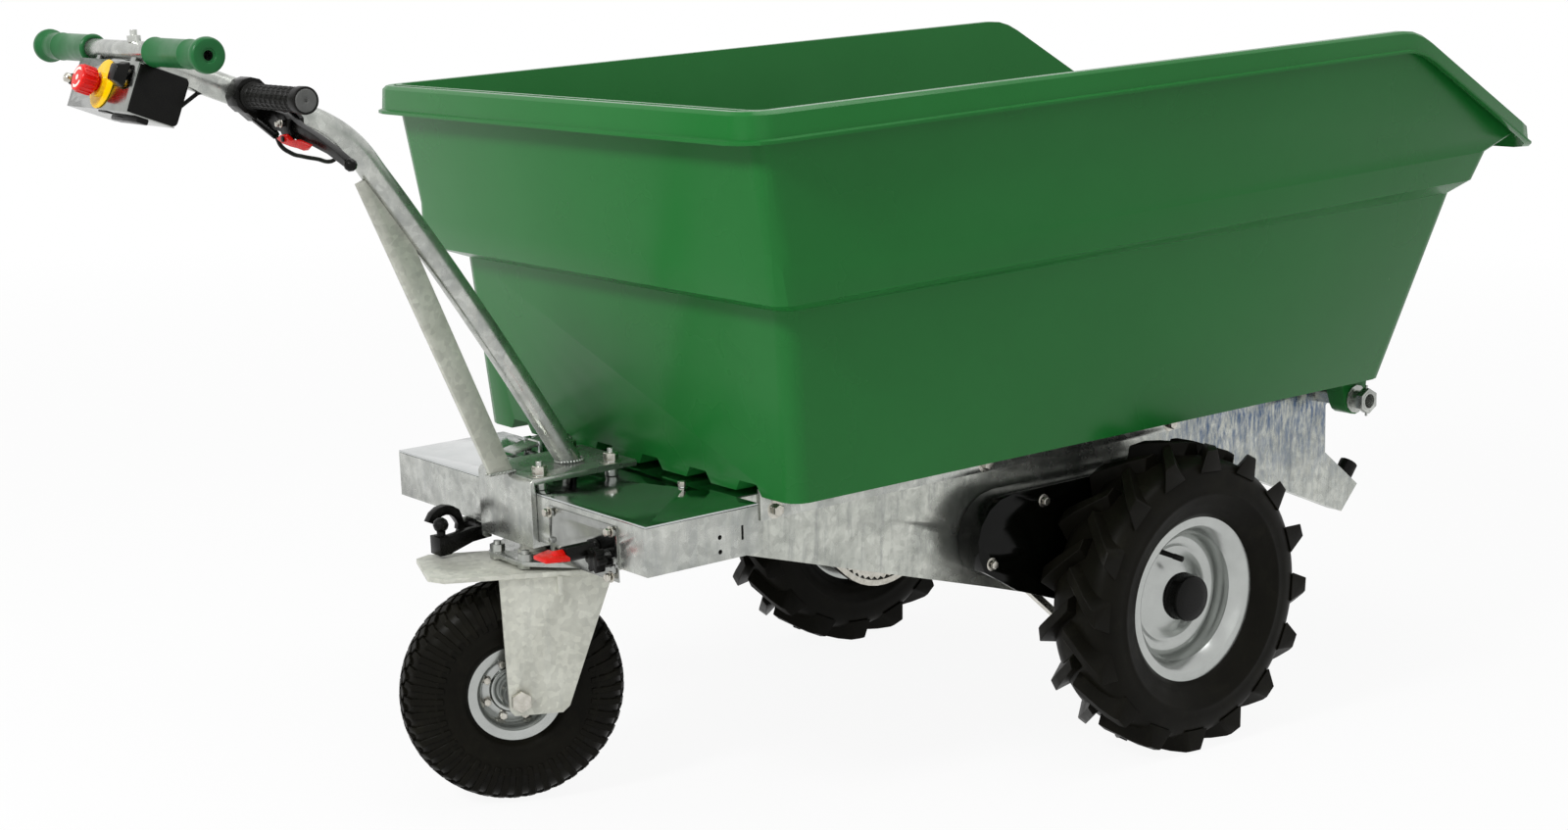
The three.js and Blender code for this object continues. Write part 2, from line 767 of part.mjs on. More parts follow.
function switchPanel() {
  const face = boxRearX - gap - panelSheet;
  let panel = box(face, boxRearX - gap, panelRight, panelLeft, panelBottomZ, panelTopZ);
  const corners = [
    [panelLeft - panelScrewInset, panelTopZ - panelScrewInset],
    [panelRight + panelScrewInset * 0.65, panelTopZ - panelScrewInset],
    [panelLeft - panelScrewInset, (panelTopZ + panelBottomZ) / 2 - panelScrewInset],
    [panelRight + panelScrewInset * 0.65, (panelTopZ + panelBottomZ) / 2 - panelScrewInset],
  ];
  for (const [y, z] of corners) {
    panel = panel.add(barXAt(y, z, panelScrewInset * 0.55, face - panelScrewInset * 0.6, face + panelSheet / 2, 8));
  }
  return cut(panel, panelHole(isolatorY, isolatorZ, isolatorRadius * 0.6),
    panelHole(socketY, socketZ, socketRadius * 0.4));
}

function panelHole(y, z, radius) {
  return barXAt(y, z, radius, boxRearX - gap - panelSheet - overrun, boxRearX + overrun, 12);
}

part('switch_panel', switchPanel(), brightSteel(), chassis);

function isolatorBody() {
  const face = boxRearX - gap - panelSheet - gap;
  const neck = isolatorRadius * 0.6 - gap;
  const body = joined(
    barXAt(isolatorY, isolatorZ, isolatorFlange * 0.8, face - 4 * gap - isolatorLength * 0.1, face, smallSides),
    barXAt(isolatorY, isolatorZ, isolatorRadius, face - isolatorLength * 0.8, face - gap, smallSides),
    barXAt(isolatorY, isolatorZ, neck, face - gap, boxRearX + boxSheet + isolatorLength * 0.3, 12),
  );
  const keyBore = barXAt(isolatorY, isolatorZ, isolatorRadius * 0.45, face - isolatorLength,
    face - isolatorLength * 0.5, 12);
  return body.subtract(keyBore);
}

part('isolator_body', isolatorBody(), blackPlastic(), chassis);

const keyWidth = 50;
const keyDepth = 32;
const keyThickness = 5;

function isolatorKey() {
  const face = boxRearX - gap - panelSheet - gap;
  const end = face - isolatorLength * 0.8 - gap;
  const blade = plateXY([
    [end - keyDepth, isolatorY - keyWidth * 0.28],
    [end - keyDepth * 0.15, isolatorY - keyWidth * 0.5],
    [end - keyDepth * 0.05, isolatorY - keyWidth * 0.2],
    [end, isolatorY - isolatorRadius * 0.7],
    [end, isolatorY + isolatorRadius * 0.7],
    [end - keyDepth * 0.05, isolatorY + keyWidth * 0.2],
    [end - keyDepth * 0.15, isolatorY + keyWidth * 0.5],
    [end - keyDepth, isolatorY + keyWidth * 0.28],
  ], isolatorZ - keyThickness / 2, isolatorZ + keyThickness / 2);
  const boss = barXAt(isolatorY, isolatorZ, isolatorRadius * 0.7, end - keyDepth * 0.4, end, 12);
  const stem = barXAt(isolatorY, isolatorZ, isolatorRadius * 0.45 - runGap, end - gap,
    face - isolatorLength * 0.5 - runGap, 12);
  return joined(blade, boss, stem);
}

part('isolator_key', isolatorKey(), redPlastic(), chassis);

// Charging socket: a lobed cap on a threaded neck
function chargingSocket() {
  const face = boxRearX - gap - panelSheet - gap;
  const capLength = socketLength * 0.55;
  let cap = joined(
    barXAt(socketY, socketZ, socketRadius * 0.72, face - socketLength, face, smallSides),
    barXAt(socketY, socketZ, socketRadius * 0.4 - gap, face - gap, boxRearX + boxSheet + socketLength, 12),
  );
  for (let lobe = 0; lobe < socketLobes; lobe += 1) {
    const angle = (lobe / socketLobes) * 2 * Math.PI;
    const reach = socketRadius * 0.72;
    cap = cap.add(barXAt(socketY + reach * Math.cos(angle), socketZ + reach * Math.sin(angle),
      socketRadius * 0.28, face - socketLength, face - socketLength + capLength, 8));
  }
  return cap;
}

part('charging_socket', chargingSocket(), blackPlastic(), chassis);

// Motor controller inside the box, on its floor
const controllerLength = 180;
const controllerWidth = 90;
const controllerHeight = 42;
const controllerFin = 6;
const controllerSlots = 5;

function motorController() {
  const middleX = (boxRearX + boxFrontX) / 2;
  const floor = boxBottomZ + boxSheet + gap;
  const y0 = boxSheet + controllerWidth / 2;
  let body = box(middleX - controllerWidth / 2, middleX + controllerWidth / 2, y0, y0 + controllerLength,
    floor, floor + controllerHeight);
  for (let slot = 0; slot < controllerSlots; slot += 1) {
    const x = middleX + (slot - (controllerSlots - 1) / 2) * controllerWidth / controllerSlots;
    body = body.subtract(box(x - controllerFin / 2, x + controllerFin / 2, y0 - overrun,
      y0 + controllerLength + overrun, floor + controllerHeight * 0.7, floor + controllerHeight + overrun));
  }
  return body;
}

part('motor_controller', motorController(), brightSteel(), chassis);

// Battery pack under the tub, on a folded tray between the side plates
const batteryLength = 167;
const batteryWidth = 362;
const batteryHeight = 70;
const batteryRearX = -540;
const traySheet = 3;
const trayZ = 148;
const terminalRadius = 7;
const terminalShares = [-0.38, -0.12, 0.12, 0.38];

function batteryTray() {
  const half = sidePlateFace - sidePlate - gap;
  const rear = batteryRearX - traySheet - gap;
  const front = batteryRearX + batteryLength + traySheet + gap;
  const floor = box(rear, front, -half, half, trayZ - traySheet, trayZ);
  const rearStop = box(rear, rear + traySheet, -batteryWidth / 2, batteryWidth / 2, trayZ, trayZ + sideFlange);
  const frontStop = box(front - traySheet, front, -batteryWidth / 2, batteryWidth / 2, trayZ,
    trayZ + sideFlange);
  return joined(floor, rearStop, frontStop);
}

part('battery_tray', batteryTray(), galvanised(), chassis);

function batteryPack() {
  const base = trayZ + gap;
  const split = batteryWidth * 0.01;
  let pack = box(batteryRearX, batteryRearX + batteryLength, -batteryWidth / 2, batteryWidth / 2, base,
    base + batteryHeight * 0.92);
  pack = pack.subtract(box(batteryRearX - overrun, batteryRearX + batteryLength + overrun, -split, split,
    base + batteryHeight * 0.2, base + batteryHeight));
  for (const y of terminalShares) {
    pack = pack.add(barZAt(batteryRearX + batteryLength * 0.15, y * batteryWidth, terminalRadius,
      base + batteryHeight * 0.9, base + batteryHeight, 10));
  }
  return pack;
}

part('battery_pack', batteryPack(), blackPlastic(), chassis);

// Geared motor: a gearbox between the pinion shafts, with its motor alongside
const gearboxHalf = 60;
const gearboxHeight = 110;
const gearboxRear = 62;
const gearboxFront = 160;
const motorRadius = 50;
const motorLength = 160;
const motorLead = 110;

function gearedMotor() {
  const z0 = pinionZ - gearboxHeight / 2;
  const z1 = pinionZ + gearboxHeight / 2;
  const outline = roundedRectangle(pinionX - gearboxRear, pinionX + gearboxFront, z0, z1, gearboxHeight * 0.2);
  const gearbox = plateXZ(outline, -gearboxHalf, gearboxHalf);
  const motorX = pinionX + motorLead;
  const motor = barY(motorX, pinionZ, motorRadius, gearboxHalf - overrun, gearboxHalf + motorLength, roundSides);
  const brakeDrum = barY(motorX, pinionZ, motorRadius * 0.7, -gearboxHalf - motorLength * 0.2,
    -gearboxHalf + overrun, roundSides);
  const bearing = barY(pinionX, pinionZ, pinionShaftRadius * 2, -gearboxHalf - pinionShaftRadius,
    gearboxHalf + pinionShaftRadius, smallSides);
  const bore = barY(pinionX, pinionZ, pinionShaftRadius + runGap, -sidePlateFace, sidePlateFace, roundSides);
  const hanger = box(pinionX - gearboxRear * 0.5, pinionX + gearboxFront * 0.5, -gearboxHalf, gearboxHalf,
    z1 - overrun, sideTopZ - deckSheet - gap);
  return cut(joined(gearbox, motor, brakeDrum, bearing, hanger), bore);
}

part('geared_motor', gearedMotor(), material(0x33363a, 0.5, 0.5), chassis);

// Fixed drive axle through both side plates
const axleBeyond = 22;
const axleEnd = driveTrack / 2 + axleBeyond;

function driveAxle() {
  const collarInner = sidePlateFace - sidePlate - gap - axleRadius;
  const shaft = barY(0, 0, axleRadius, -axleEnd, axleEnd, roundSides);
  const collars = sides.map(([, side]) => {
    const [y0, y1] = onSide(side, collarInner, sidePlateFace - sidePlate - gap);
    return barY(0, 0, axleRadius * 1.7, y0, y1, smallSides);
  });
  return joined(shaft, ...collars);
}

part('drive_axle', driveAxle(), brightSteel(), chassis);

// Wheels spin on the axle, so their group has no rake
const wheelFrame = new THREE.Group();
wheelFrame.position.z = driveRadius;
machine.add(wheelFrame);

const driveMiddle = driveTrack / 2;

// Half section of a tyre: bead, flange line, sidewall bulge, shoulder and crown, as (radius, offset).
function tyreProfile(crown, seat, flange, halfWidth, beadHalf) {
  const wallHeight = crown - flange;
  const right = [
    [seat, beadHalf], [flange + runGap * 2, beadHalf], [flange + wallHeight * 0.16, halfWidth * 0.86],
    [flange + wallHeight * 0.55, halfWidth], [flange + wallHeight * 0.86, halfWidth * 0.9],
    [crown, halfWidth * 0.55],
  ];
  return [...right, ...right.slice().reverse().map(([radius, offset]) => [radius, -offset])];
}

// A tyre carcass is a thick skin, open between the beads.
function carcass(crown, seat, flange, halfWidth, beadHalf, wall, segments) {
  const outside = tyreProfile(crown, seat, flange, halfWidth, beadHalf);
  const inside = [
    [seat, beadHalf - wall * 0.5], [(flange + crown) / 2, halfWidth - wall], [crown - wall * 2, halfWidth * 0.4],
  ];
  const mirrored = inside.slice().reverse().map(([radius, offset]) => [radius, -offset]);
  const profile = [...outside, ...mirrored.slice().reverse(), ...inside.slice().reverse()];
  return turned([...profile, profile[0]], segments);
}

// One bar of the open tread, a wedge with a wide foot: it runs from the middle to the shoulder and
// leans back. Its two ends are given as (share across, drop, width, sink).
const lugEnds = [[-0.08, 0, 0.85, 0.3], [0.98, 0.12, 1.1, 0.85]];
const lugLean = 0.95;
const lugShare = 0.3;
const lugFoot = 1.75;
const lugTop = 0.72;

function treadLug(angle, side, outerRadius, carcassRadius, halfWidth, lugAngle) {
  const rings = lugEnds.map(([across, drop, wide, sink]) => {
    const middle = angle + lugLean * across * halfWidth / outerRadius;
    const half = lugAngle * wide;
    const top = outerRadius - drop * (outerRadius - carcassRadius);
    const base = carcassRadius - driveLugHeight * sink;
    const y = side * across * halfWidth;
    const corner = (turn, radius) => [radius * Math.cos(middle + turn), y, radius * Math.sin(middle + turn)];
    const ring = [corner(-half * lugFoot, base), corner(half * lugFoot, base), corner(half * lugTop, top),
      corner(-half * lugTop, top)];
    return side > 0 ? ring : ring.reverse();
  });
  return loft(rings);
}

function driveTyre(side) {
  const crown = driveRadius - driveLugHeight;
  const beadHalf = rimWidth / 2 - rimSheet * 1.6 - gap;
  let tyre = carcass(crown, driveSeatRadius + gap, driveRimRadius, driveTyreWidth / 2, beadHalf, tyreWall,
    tyreSegments);
  const lugAngle = lugShare * Math.PI / driveLugCount;
  for (let lug = 0; lug < driveLugCount; lug += 1) {
    const angle = lug * 2 * Math.PI / driveLugCount - driveLugTurn * degrees;
    tyre = tyre.add(treadLug(angle, 1, driveRadius, crown, driveTyreWidth / 2, lugAngle));
    tyre = tyre.add(treadLug(angle + Math.PI / driveLugCount, -1, driveRadius, crown, driveTyreWidth / 2,
      lugAngle));
  }
  return atWheel(tyre, side);
}

function atWheel(manifold, side) {
  return manifold.translate([0, side * driveMiddle, 0]);
}

// Rim: a welded steel section with flanges, bead seats and a well, and a dished disc.
// out is the offset towards the outside of the machine.
function rimSection(flange, seat, width, sheet) {
  const half = width / 2;
  const well = seat - sheet * 3.5;
  return [
    [flange, half], [flange, half - sheet], [seat, half - sheet * 1.6], [well, half * 0.45],
    [well, -half * 0.45], [seat, -half + sheet * 1.6], [flange, -half + sheet], [flange, -half],
    [seat - sheet, -half + sheet * 0.6], [well - sheet, -half * 0.5], [well - sheet, half * 0.5],
    [seat - sheet, half - sheet * 0.6],
  ];
}

function driveRim(side) {
  const ring = rimSection(driveRimRadius, driveSeatRadius, rimWidth, rimSheet);
  const half = rimWidth / 2;
  const wellInner = driveSeatRadius - rimSheet * 4.5;
  const discBack = half - driveDishDepth;
  const discNose = discBack + hubRadius * 0.9;
  const bore = hubRadius + gap;
  const disc = [
    [bore, discNose], [hubCapRadius, discNose], [hubCapRadius * 1.9, discBack + rimSheet],
    [wellInner + rimSheet / 2, discBack + rimSheet], [wellInner + rimSheet / 2, discBack],
    [hubCapRadius * 1.8, discBack], [hubCapRadius - rimSheet, discNose - rimSheet], [bore, discNose - rimSheet],
  ];
  const slotAt = driveSeatRadius * 0.72;
  const rim = joined(turned([...ring, ring[0]]), turned([...disc, disc[0]].reverse()));
  const slot = barY(-slotAt * 0.5, slotAt * 0.86, rimSlotRadius, -half, half, 8);
  const facing = side > 0 ? rim.subtract(slot) : rim.subtract(slot).mirror([0, 1, 0]);
  return atWheel(facing, side);
}

// A toothed ring as an outline in (x, z): a tip and a root for each tooth.
function sprocketOutline(teeth, pitchRadius) {
  const root = pitchRadius - toothDepth * 0.6;
  const tip = pitchRadius + toothDepth * 0.4;
  const points = [];
  for (let tooth = 0; tooth < teeth; tooth += 1) {
    const angle = 2 * Math.PI * tooth / teeth;
    const next = angle + Math.PI / teeth;
    points.push([tip * Math.cos(angle), tip * Math.sin(angle)]);
    points.push([root * Math.cos(next), root * Math.sin(next)]);
  }
  return points;
}

function pitchRadiusOf(teeth) {
  return chainPitch / 2 / Math.sin(Math.PI / teeth);
}

// Hub with the chain wheel welded to its inner end and a flange against the rim disc.
function sprocketHub(side) {
  const [s0, s1] = onSide(side, sprocketPlane - sprocketThickness / 2, sprocketPlane + sprocketThickness / 2);
  const plate = plateXZ(sprocketOutline(wheelTeeth, pitchRadiusOf(wheelTeeth)), s0, s1);
  const hubStart = sidePlateFace + sprocketThickness;
  const discNose = driveMiddle + rimWidth / 2 - driveDishDepth + hubRadius * 0.9;
  const [h0, h1] = onSide(side, hubStart, discNose + rimSheet);
  const flangeFace = discNose - rimSheet - gap;
  const [f0, f1] = onSide(side, flangeFace - rimSheet * 2, flangeFace);
  const flangeRadius = hubCapRadius - rimSheet - gap;
  const bore = barY(0, 0, axleRadius + gap, -axleEnd, axleEnd, roundSides);
  return cut(joined(
    plate,
    barY(0, 0, hubRadius, h0, h1, roundSides),
    barY(0, 0, flangeRadius, f0, f1, roundSides),
  ), bore);
}

// Hub cap: a domed plastic cup over the axle end
function hubCap(side) {
  const discNose = driveMiddle + rimWidth / 2 - driveDishDepth + hubRadius * 0.9;
  const start = discNose + gap;
  const depth = driveMiddle + rimWidth / 2 - start;
  const outer = hubCapRadius;
  const inner = outer - hubCapWall;
  const profile = [
    [inner, start], [outer, start], [outer, start + depth * 0.7], [outer * 0.9, start + depth * 0.92],
    [outer * 0.55, start + depth], [0, start + depth * 1.02], [0, start + depth * 1.02 - hubCapWall],
    [inner * 0.8, start + depth * 0.85], [inner, start + depth * 0.6],
  ];
  const cap = turned([...profile, profile[0]], roundSides);
  return side > 0 ? cap : cap.mirror([0, 1, 0]);
}

for (const [name, side] of sides) {
  part(`${name}_drive_tyre`, driveTyre(side), rubber(), wheelFrame);
  part(`${name}_drive_rim`, driveRim(side), silverPaint(), wheelFrame);
  part(`${name}_sprocket_hub`, sprocketHub(side), brightSteel(), wheelFrame);
  part(`${name}_hub_cap`, hubCap(side), blackPlastic(), wheelFrame);
}

// Pinion shafts from the geared motor through the side plates
function pinionShaft(side) {
  const [s0, s1] = onSide(side, sprocketPlane - sprocketThickness / 2, sprocketPlane + sprocketThickness / 2);
  const outline = sprocketOutline(pinionTeeth, pitchRadiusOf(pinionTeeth))
    .map(([x, z]) => [x + pinionX, z + pinionZ]);
  const [h0, h1] = onSide(side, gearboxHalf * 0.4, sprocketPlane + sprocketThickness);
  return joined(plateXZ(outline, s0, s1), barY(pinionX, pinionZ, pinionShaftRadius, h0, h1, smallSides));
}

// Roller chain as a closed loop just outside the tips of both toothed wheels
function chainLoop(side) {
  const [y0, y1] = onSide(side, sprocketPlane - chainWidth / 2, sprocketPlane + chainWidth / 2);
  const outer = plateXZ(beltOutline(chainHeight), y0, y1);
  const inner = plateXZ(beltOutline(0), y0 - overrun, y1 + overrun);
  return outer.subtract(inner);
}

// Outline of a belt round the two tooth tip circles, grown by an extra radius.
function beltOutline(extra) {
  const tip = toothDepth * 0.4 + runGap + extra;
  const large = pitchRadiusOf(wheelTeeth) + tip;
  const small = pitchRadiusOf(pinionTeeth) + tip;
  const span = Math.hypot(pinionX, pinionZ);
  const heading = Math.atan2(pinionZ, pinionX) / degrees;
  const spread = Math.acos((large - small) / span) / degrees;
  return [
    ...arcPoints(0, 0, large, heading + spread, heading + 360 - spread, wheelSides),
    ...arcPoints(pinionX, pinionZ, small, heading - spread, heading + spread, cornerSteps * 4),
  ];
}

// Chain guard: a moulded cover over the pinion and the upper half of the chain wheel
function guardOutline(inset, open) {
  const end = guardEndRadius - inset;
  const wheel = guardSprocketRadius - inset;
  const lowZ = pinionZ - guardEndRadius * 1.7;
  const drop = open ? overrun * 3 : 0;
  return [
    ...arcPoints(pinionX, pinionZ, end, 90, guardHeelAngle, cornerSteps * 2),
    [pinionX + guardEndRadius * 0.1, lowZ + guardEndRadius * 0.55 - drop],
    [-wheel * 0.93, lowZ - drop],
    [wheel, lowZ - drop],
    ...arcPoints(0, 0, wheel, guardToeAngle, guardTopAngle, cornerSteps),
    [wheel * 0.3, pinionZ + end],
  ];
}

function chainGuard(side) {
  const [y0, y1] = onSide(side, sidePlateFace + stripThickness + gap * 2, guardFace);
  const [p0, p1] = onSide(side, sidePlateFace, guardFace - guardWall);
  const shell = plateXZ(guardOutline(0, false), y0, y1);
  const pocket = plateXZ(guardOutline(guardWall, true), p0, p1);
  const hubNotch = barY(0, 0, hubRadius * 1.5, y0 - overrun, y1 + overrun, roundSides);
  const lowNotch = box(-hubRadius * 1.5, hubRadius * 1.5, Math.min(y0, y1) - overrun,
    Math.max(y0, y1) + overrun, -guardEndRadius, 0);
  let guard = cut(shell, pocket, hubNotch, lowNotch);
  const bolts = [[pinionX + guardEndRadius * 0.9, pinionZ + guardEndRadius * 0.7],
    [pinionX - guardEndRadius * 0.62, pinionZ - guardEndRadius * 0.42]];
  for (const [x, z] of bolts) {
    const [b0, b1] = onSide(side, sidePlateFace + gap, guardFace + stripBoltHeight * 0.4);
    guard = guard.add(barY(x, z, stripBoltHead * 0.45, b0, b1, 8));
  }
  return guard;
}

for (const [name, side] of sides) {
  part(`${name}_pinion_shaft`, pinionShaft(side), brightSteel(), chassis);
  part(`${name}_chain`, chainLoop(side), material(0x3a3733, 0.5, 0.7), chassis);
  part(`${name}_chain_guard`, chainGuard(side), blackPlastic(), chassis);
}

// Handle bracket: a folded plate behind and above the box
const bracketBottomZ = boxBottomZ - gap - bracketPlate;
const bracketLowerReach = 26;
const bracketOuterX = boxRearX - gap - bracketPlate;
const bracketBoltX = -700;
const bracketBoltRearX = -807;
const bracketBoltInset = 14;
const spacerRadius = 9;
const bracketBoltHead = 16;
const bracketBoltHeight = 9;
const bracketBoltThread = 18;

function bracketBolt(x, y) {
  const plateTop = bracketTopZ;
  const coverTop = boxTopZ + gap + coverSheet + gap;
  return joined(
    barZAt(x, y, spacerRadius * 0.5, coverTop, plateTop + bracketBoltThread, 10),
    barZAt(x, y, spacerRadius, coverTop, bracketTopZ - bracketPlate + gap, 12),
    hexZ(x, y, plateTop - gap, bracketBoltHead, bracketBoltHeight),
  );
}

function handleBracket() {
  const outline = [
    [bracketOuterX, bracketBottomZ], [boxRearX + bracketLowerReach, bracketBottomZ],
    [boxRearX + bracketLowerReach, bracketBottomZ + bracketPlate],
    [bracketOuterX + bracketPlate, bracketBottomZ + bracketPlate],
    [bracketOuterX + bracketPlate, bracketTopZ - bracketPlate],
    [bracketFrontX, bracketTopZ - bracketPlate], [bracketFrontX, bracketTopZ],
    ...arcPoints(bracketOuterX + bracketPlate, bracketTopZ - bracketPlate, bracketPlate, 90, 180, cornerSteps),
  ];
  const folded = plateXZ(outline, -bracketRight, bracketLeft);
  const cableHole = barZAt(poleFootX, 0, cableHoleRadius, bracketTopZ - bracketPlate - overrun,
    bracketTopZ + overrun, smallSides);
  const bolts = [
    bracketBolt(bracketBoltX, -bracketRight + bracketBoltInset),
    bracketBolt(bracketBoltRearX, -bracketRight + bracketBoltInset),
    bracketBolt(bracketBoltX, bracketLeft - bracketBoltInset),
  ];
  return joined(cut(folded, cableHole), ...bolts);
}

part('handle_bracket', handleBracket(), galvanised(), chassis);

// Handle pole: a bent tube with a stub for the brake grip
const polePoints = [
  [poleFootX, 0, bracketTopZ + gap], [-808, 0, 372], [-880, 0, 486], [-932, 0, 564], [-984, 0, 639],
  [-1015, 0, 680], [-1050, 0, 706], [-1097, 0, 726], [-1140, 0, 745], [-1183, 0, 763], [barX, 0, barZ],
];
const stubShort = 6;
const stubEnd = brakeGripStart + brakeGripLength - stubShort;

// The bore of the pole is carried on below its foot by this run and drop
const poleFootRun = 12;
const poleFootDrop = 20;

// Cables, whole along their routes: through the pole, the cover and the box
const cableDrop = 4;

function insidePole(fromIndex, toIndex, y) {
  return polePoints.slice(toIndex, fromIndex + 1).reverse()
    .map(([x, , z]) => [x, y, z - cableDrop]);
}

const brakeCablePoints = [
  [-1140.8, -65, 702.5], [-1140, -68, 698], [-1139, -73.7, 691.4], [-1130, -71.4, 685.2], [-1105, -51, 678.3],
  [-1075, -29.7, 670.4], [-1040, -4, 661],
  [-1022, 4, 668], [-1002, 6, 658], ...insidePole(3, 1, 6), [poleFootX + 1, 6, 262], [-727, 6, 232],
  [-700, 6, 214], [-662, 6, 204], [-620, 4, 212], [-560, 0, 224], [-480, 0, 226], [-400, -6, 224],
  [-345, -30, 205], [-300, -60, 176],
];

const controlCablePoints = [
  [-1245, 0, 745], [-1232, 0, 740], [-1216, -1, 744], [-1200, -3, 756], [-1176, -5, 757],
  ...insidePole(8, 1, -6), [poleFootX + 1, -6, 262], [-733, -6, 232], [-741, -2, 216], [-750, 20, 205],
];

function handlePole() {
  const outer = rodAlong(polePoints, poleRadius, smallSides, poleSteps);
  const first = polePoints[0];
  const foot = [first[0] + poleFootRun, 0, first[2] - poleFootDrop];
  const inner = rodAlong([foot, ...polePoints], poleRadius - poleWall, cableSides + 2, poleSteps);
  const saddle = barY(barX, barZ, barRadius + gap, -poleRadius * 2, poleRadius * 2, roundSides);
  const beyond = box(barX - poleRadius * 3, barX, -poleRadius * 2, poleRadius * 2, barZ - poleRadius * 3,
    barZ + poleRadius * 3);
  const floor = box(poleFootX - poleRadius * 4, poleFootX + poleRadius * 4, -poleRadius * 2, poleRadius * 2,
    bracketTopZ - poleRadius * 3, bracketTopZ + gap);
  const stub = barY(brakeX, brakeZ, stubRadius, -stubEnd, 0, smallSides);
  const cableWays = [brakeCablePoints, controlCablePoints].map((points) => (
    rodAlong(points, cableRadius + gap * 1.5, cableSides, cableSteps)));
  return cut(joined(outer, stub), inner, saddle, beyond, floor, ...cableWays);
}

part('handle_pole', handlePole(), galvanised(), chassis);

// Brace: a flat bar on edge from the bracket to the bend of the pole
const braceTopX = -996;
const braceTopZ = 640;
const braceFootX = -838;

function handleBrace() {
  const foot = [braceFootX, bracketTopZ + gap];
  const head = [braceTopX, braceTopZ];
  const length = Math.hypot(head[0] - foot[0], head[1] - foot[1]);
  const across = [(head[1] - foot[1]) / length * braceWidth / 2, -(head[0] - foot[0]) / length * braceWidth / 2];
  const blade = plateXZ([
    [foot[0] - across[0], foot[1]],
    [head[0] - across[0], head[1] - across[1]],
    [head[0] + across[0], head[1] + across[1]],
    [foot[0] + across[0], foot[1]],
  ], -braceThickness / 2, braceThickness / 2);
  const pole = rodAlong(polePoints, poleRadius + gap, smallSides, poleSteps);
  const pieces = blade.subtract(pole).decompose();
  return pieces.reduce((largest, piece) => (piece.volume() > largest.volume() ? piece : largest));
}

part('handle_brace', handleBrace(), galvanised(), chassis);

// Cross bar of the handle, with a through bolt that holds the control box
const barBoltY = -31;
const barBoltRadius = 4;
const barBoltThread = 12;
const barBoltHead = 13;
const barBoltHeight = 7;

function handleBar() {
  const tube = cut(
    barY(barX, barZ, barRadius, -barLength / 2, barLength / 2, roundSides),
    barY(barX, barZ, barRadius - barWall, -barLength / 2 - overrun, barLength / 2 + overrun, smallSides),
  );
  const bolt = joined(
    barZAt(barX, barBoltY, barBoltRadius, barZ - barRadius * 0.9, barZ + barRadius + barBoltThread, 10),
    hexZ(barX, barBoltY, barZ + barRadius - barWall / 2, barBoltHead, barBoltHeight),
  );
  return joined(tube, bolt);
}

part('handle_bar', handleBar(), galvanised(), chassis);

// Moulded grips on the cross bar, from beside the control box to past the ends of the bar
function barGrip(side) {
  const start = controlWidth / 2 + gripClear;
  const end = barLength / 2 + gripRadius * 0.3;
  const bore = barRadius + gap;
  const holeRadius = gripRadius * 0.34;
  const profile = [
    [bore, start], [gripRadius, start], [gripRadius, end - gripRadius * 1.5],
    [gripRadius * 0.94, end - gripRadius * 0.9], [gripRadius * 1.24, end - gripRadius * 0.6],
    [gripRadius * 1.24, end - gripRadius * 0.2], [gripRadius * 1.1, end], [holeRadius, end],
    [holeRadius, barLength / 2 + gap], [bore, barLength / 2 + gap],
  ];
  const grip = turned([...profile, profile[0]], roundSides).translate([barX, 0, barZ]);
  return side > 0 ? grip : grip.mirror([0, 1, 0]);
}

for (const [name, side] of sides) {
  part(`${name}_grip`, barGrip(side), greenPlastic(), chassis);
}

// Control box: a stainless channel bolted under the cross bar round a moulded enclosure
const controlSheet = 1.5;
const saddleShare = 0.6;
const saddleWidth = 14;
const stopY = -2;
const stopZShare = 0.53;
const stopStemRadius = 8;
const stopHeadRadius = 15.5;
const stopHeadLength = 19;
const stopRingLength = 7;
const stopRingRadius = 14;
const stopTravel = 4;
const stopSides = 20;
const stopPlateSteps = 20;
const stopStemInside = 12;
const switchY = -52.5;
const switchZShare = 0.29;
const switchStem = 5;
const switchHalf = 14.5;
const switchReach = 15;
const switchSwing = 10;
const switchInside = 6;
const knobY = 48;
const knobZShare = 0.52;
const knobRadius = 7;
const knobLength = 24.5;
const enclosureWall = 2.5;
const enclosureCornerShare = 0.12;

const stopZ = -controlHeight * stopZShare;
const switchZ = -controlHeight * switchZShare;
const knobZ = -controlHeight * knobZShare;

// The room for the end of the pole, in the frame of the box
function poleRoom() {
  const { x, z } = controls.position;
  return rodAlong(polePoints, poleRadius + runGap, smallSides, poleSteps)
    .translate([-x, 0, -z]).rotate([0, -controlTilt, 0]);
}

function controlBracket() {
  const half = controlWidth / 2;
  const tilt = controlTilt * degrees;
  const barOver = (barRadius + controlGap - controlLead * Math.sin(tilt)) / Math.cos(tilt);
  const channel = cut(
    box(0, controlDepth, -half, half, -controlHeight, 0),
    box(controlSheet, controlDepth + overrun, -half - overrun, half + overrun, -controlHeight + controlSheet,
      -controlSheet),
  );
  const barAcross = controlLead * Math.cos(tilt) - barOver * Math.sin(tilt);
  const barAbove = barRadius + controlGap;
  const saddles = [-1, 1].map((side) => {
    const y = side * half * saddleShare;
    return box(barAcross - saddleWidth / 2, barAcross + saddleWidth / 2, y - saddleWidth / 2, y + saddleWidth / 2,
      -controlSheet / 2, barAbove - barRadius * saddleShare);
  });
  const barRoom = barY(barAcross, barAbove, barRadius + gap, -half, half, roundSides);
  return cut(joined(channel, ...saddles), barRoom, poleRoom(),
    barXAt(stopY, stopZ, stopStemRadius + runGap, -overrun, controlSheet + overrun, smallSides),
    barXAt(switchY, switchZ, switchStem + runGap * 1.2, -overrun, controlSheet + overrun, smallSides),
    barXAt(knobY, knobZ, knobRadius * 0.5 + runGap, -overrun, controlSheet + overrun, 12));
}

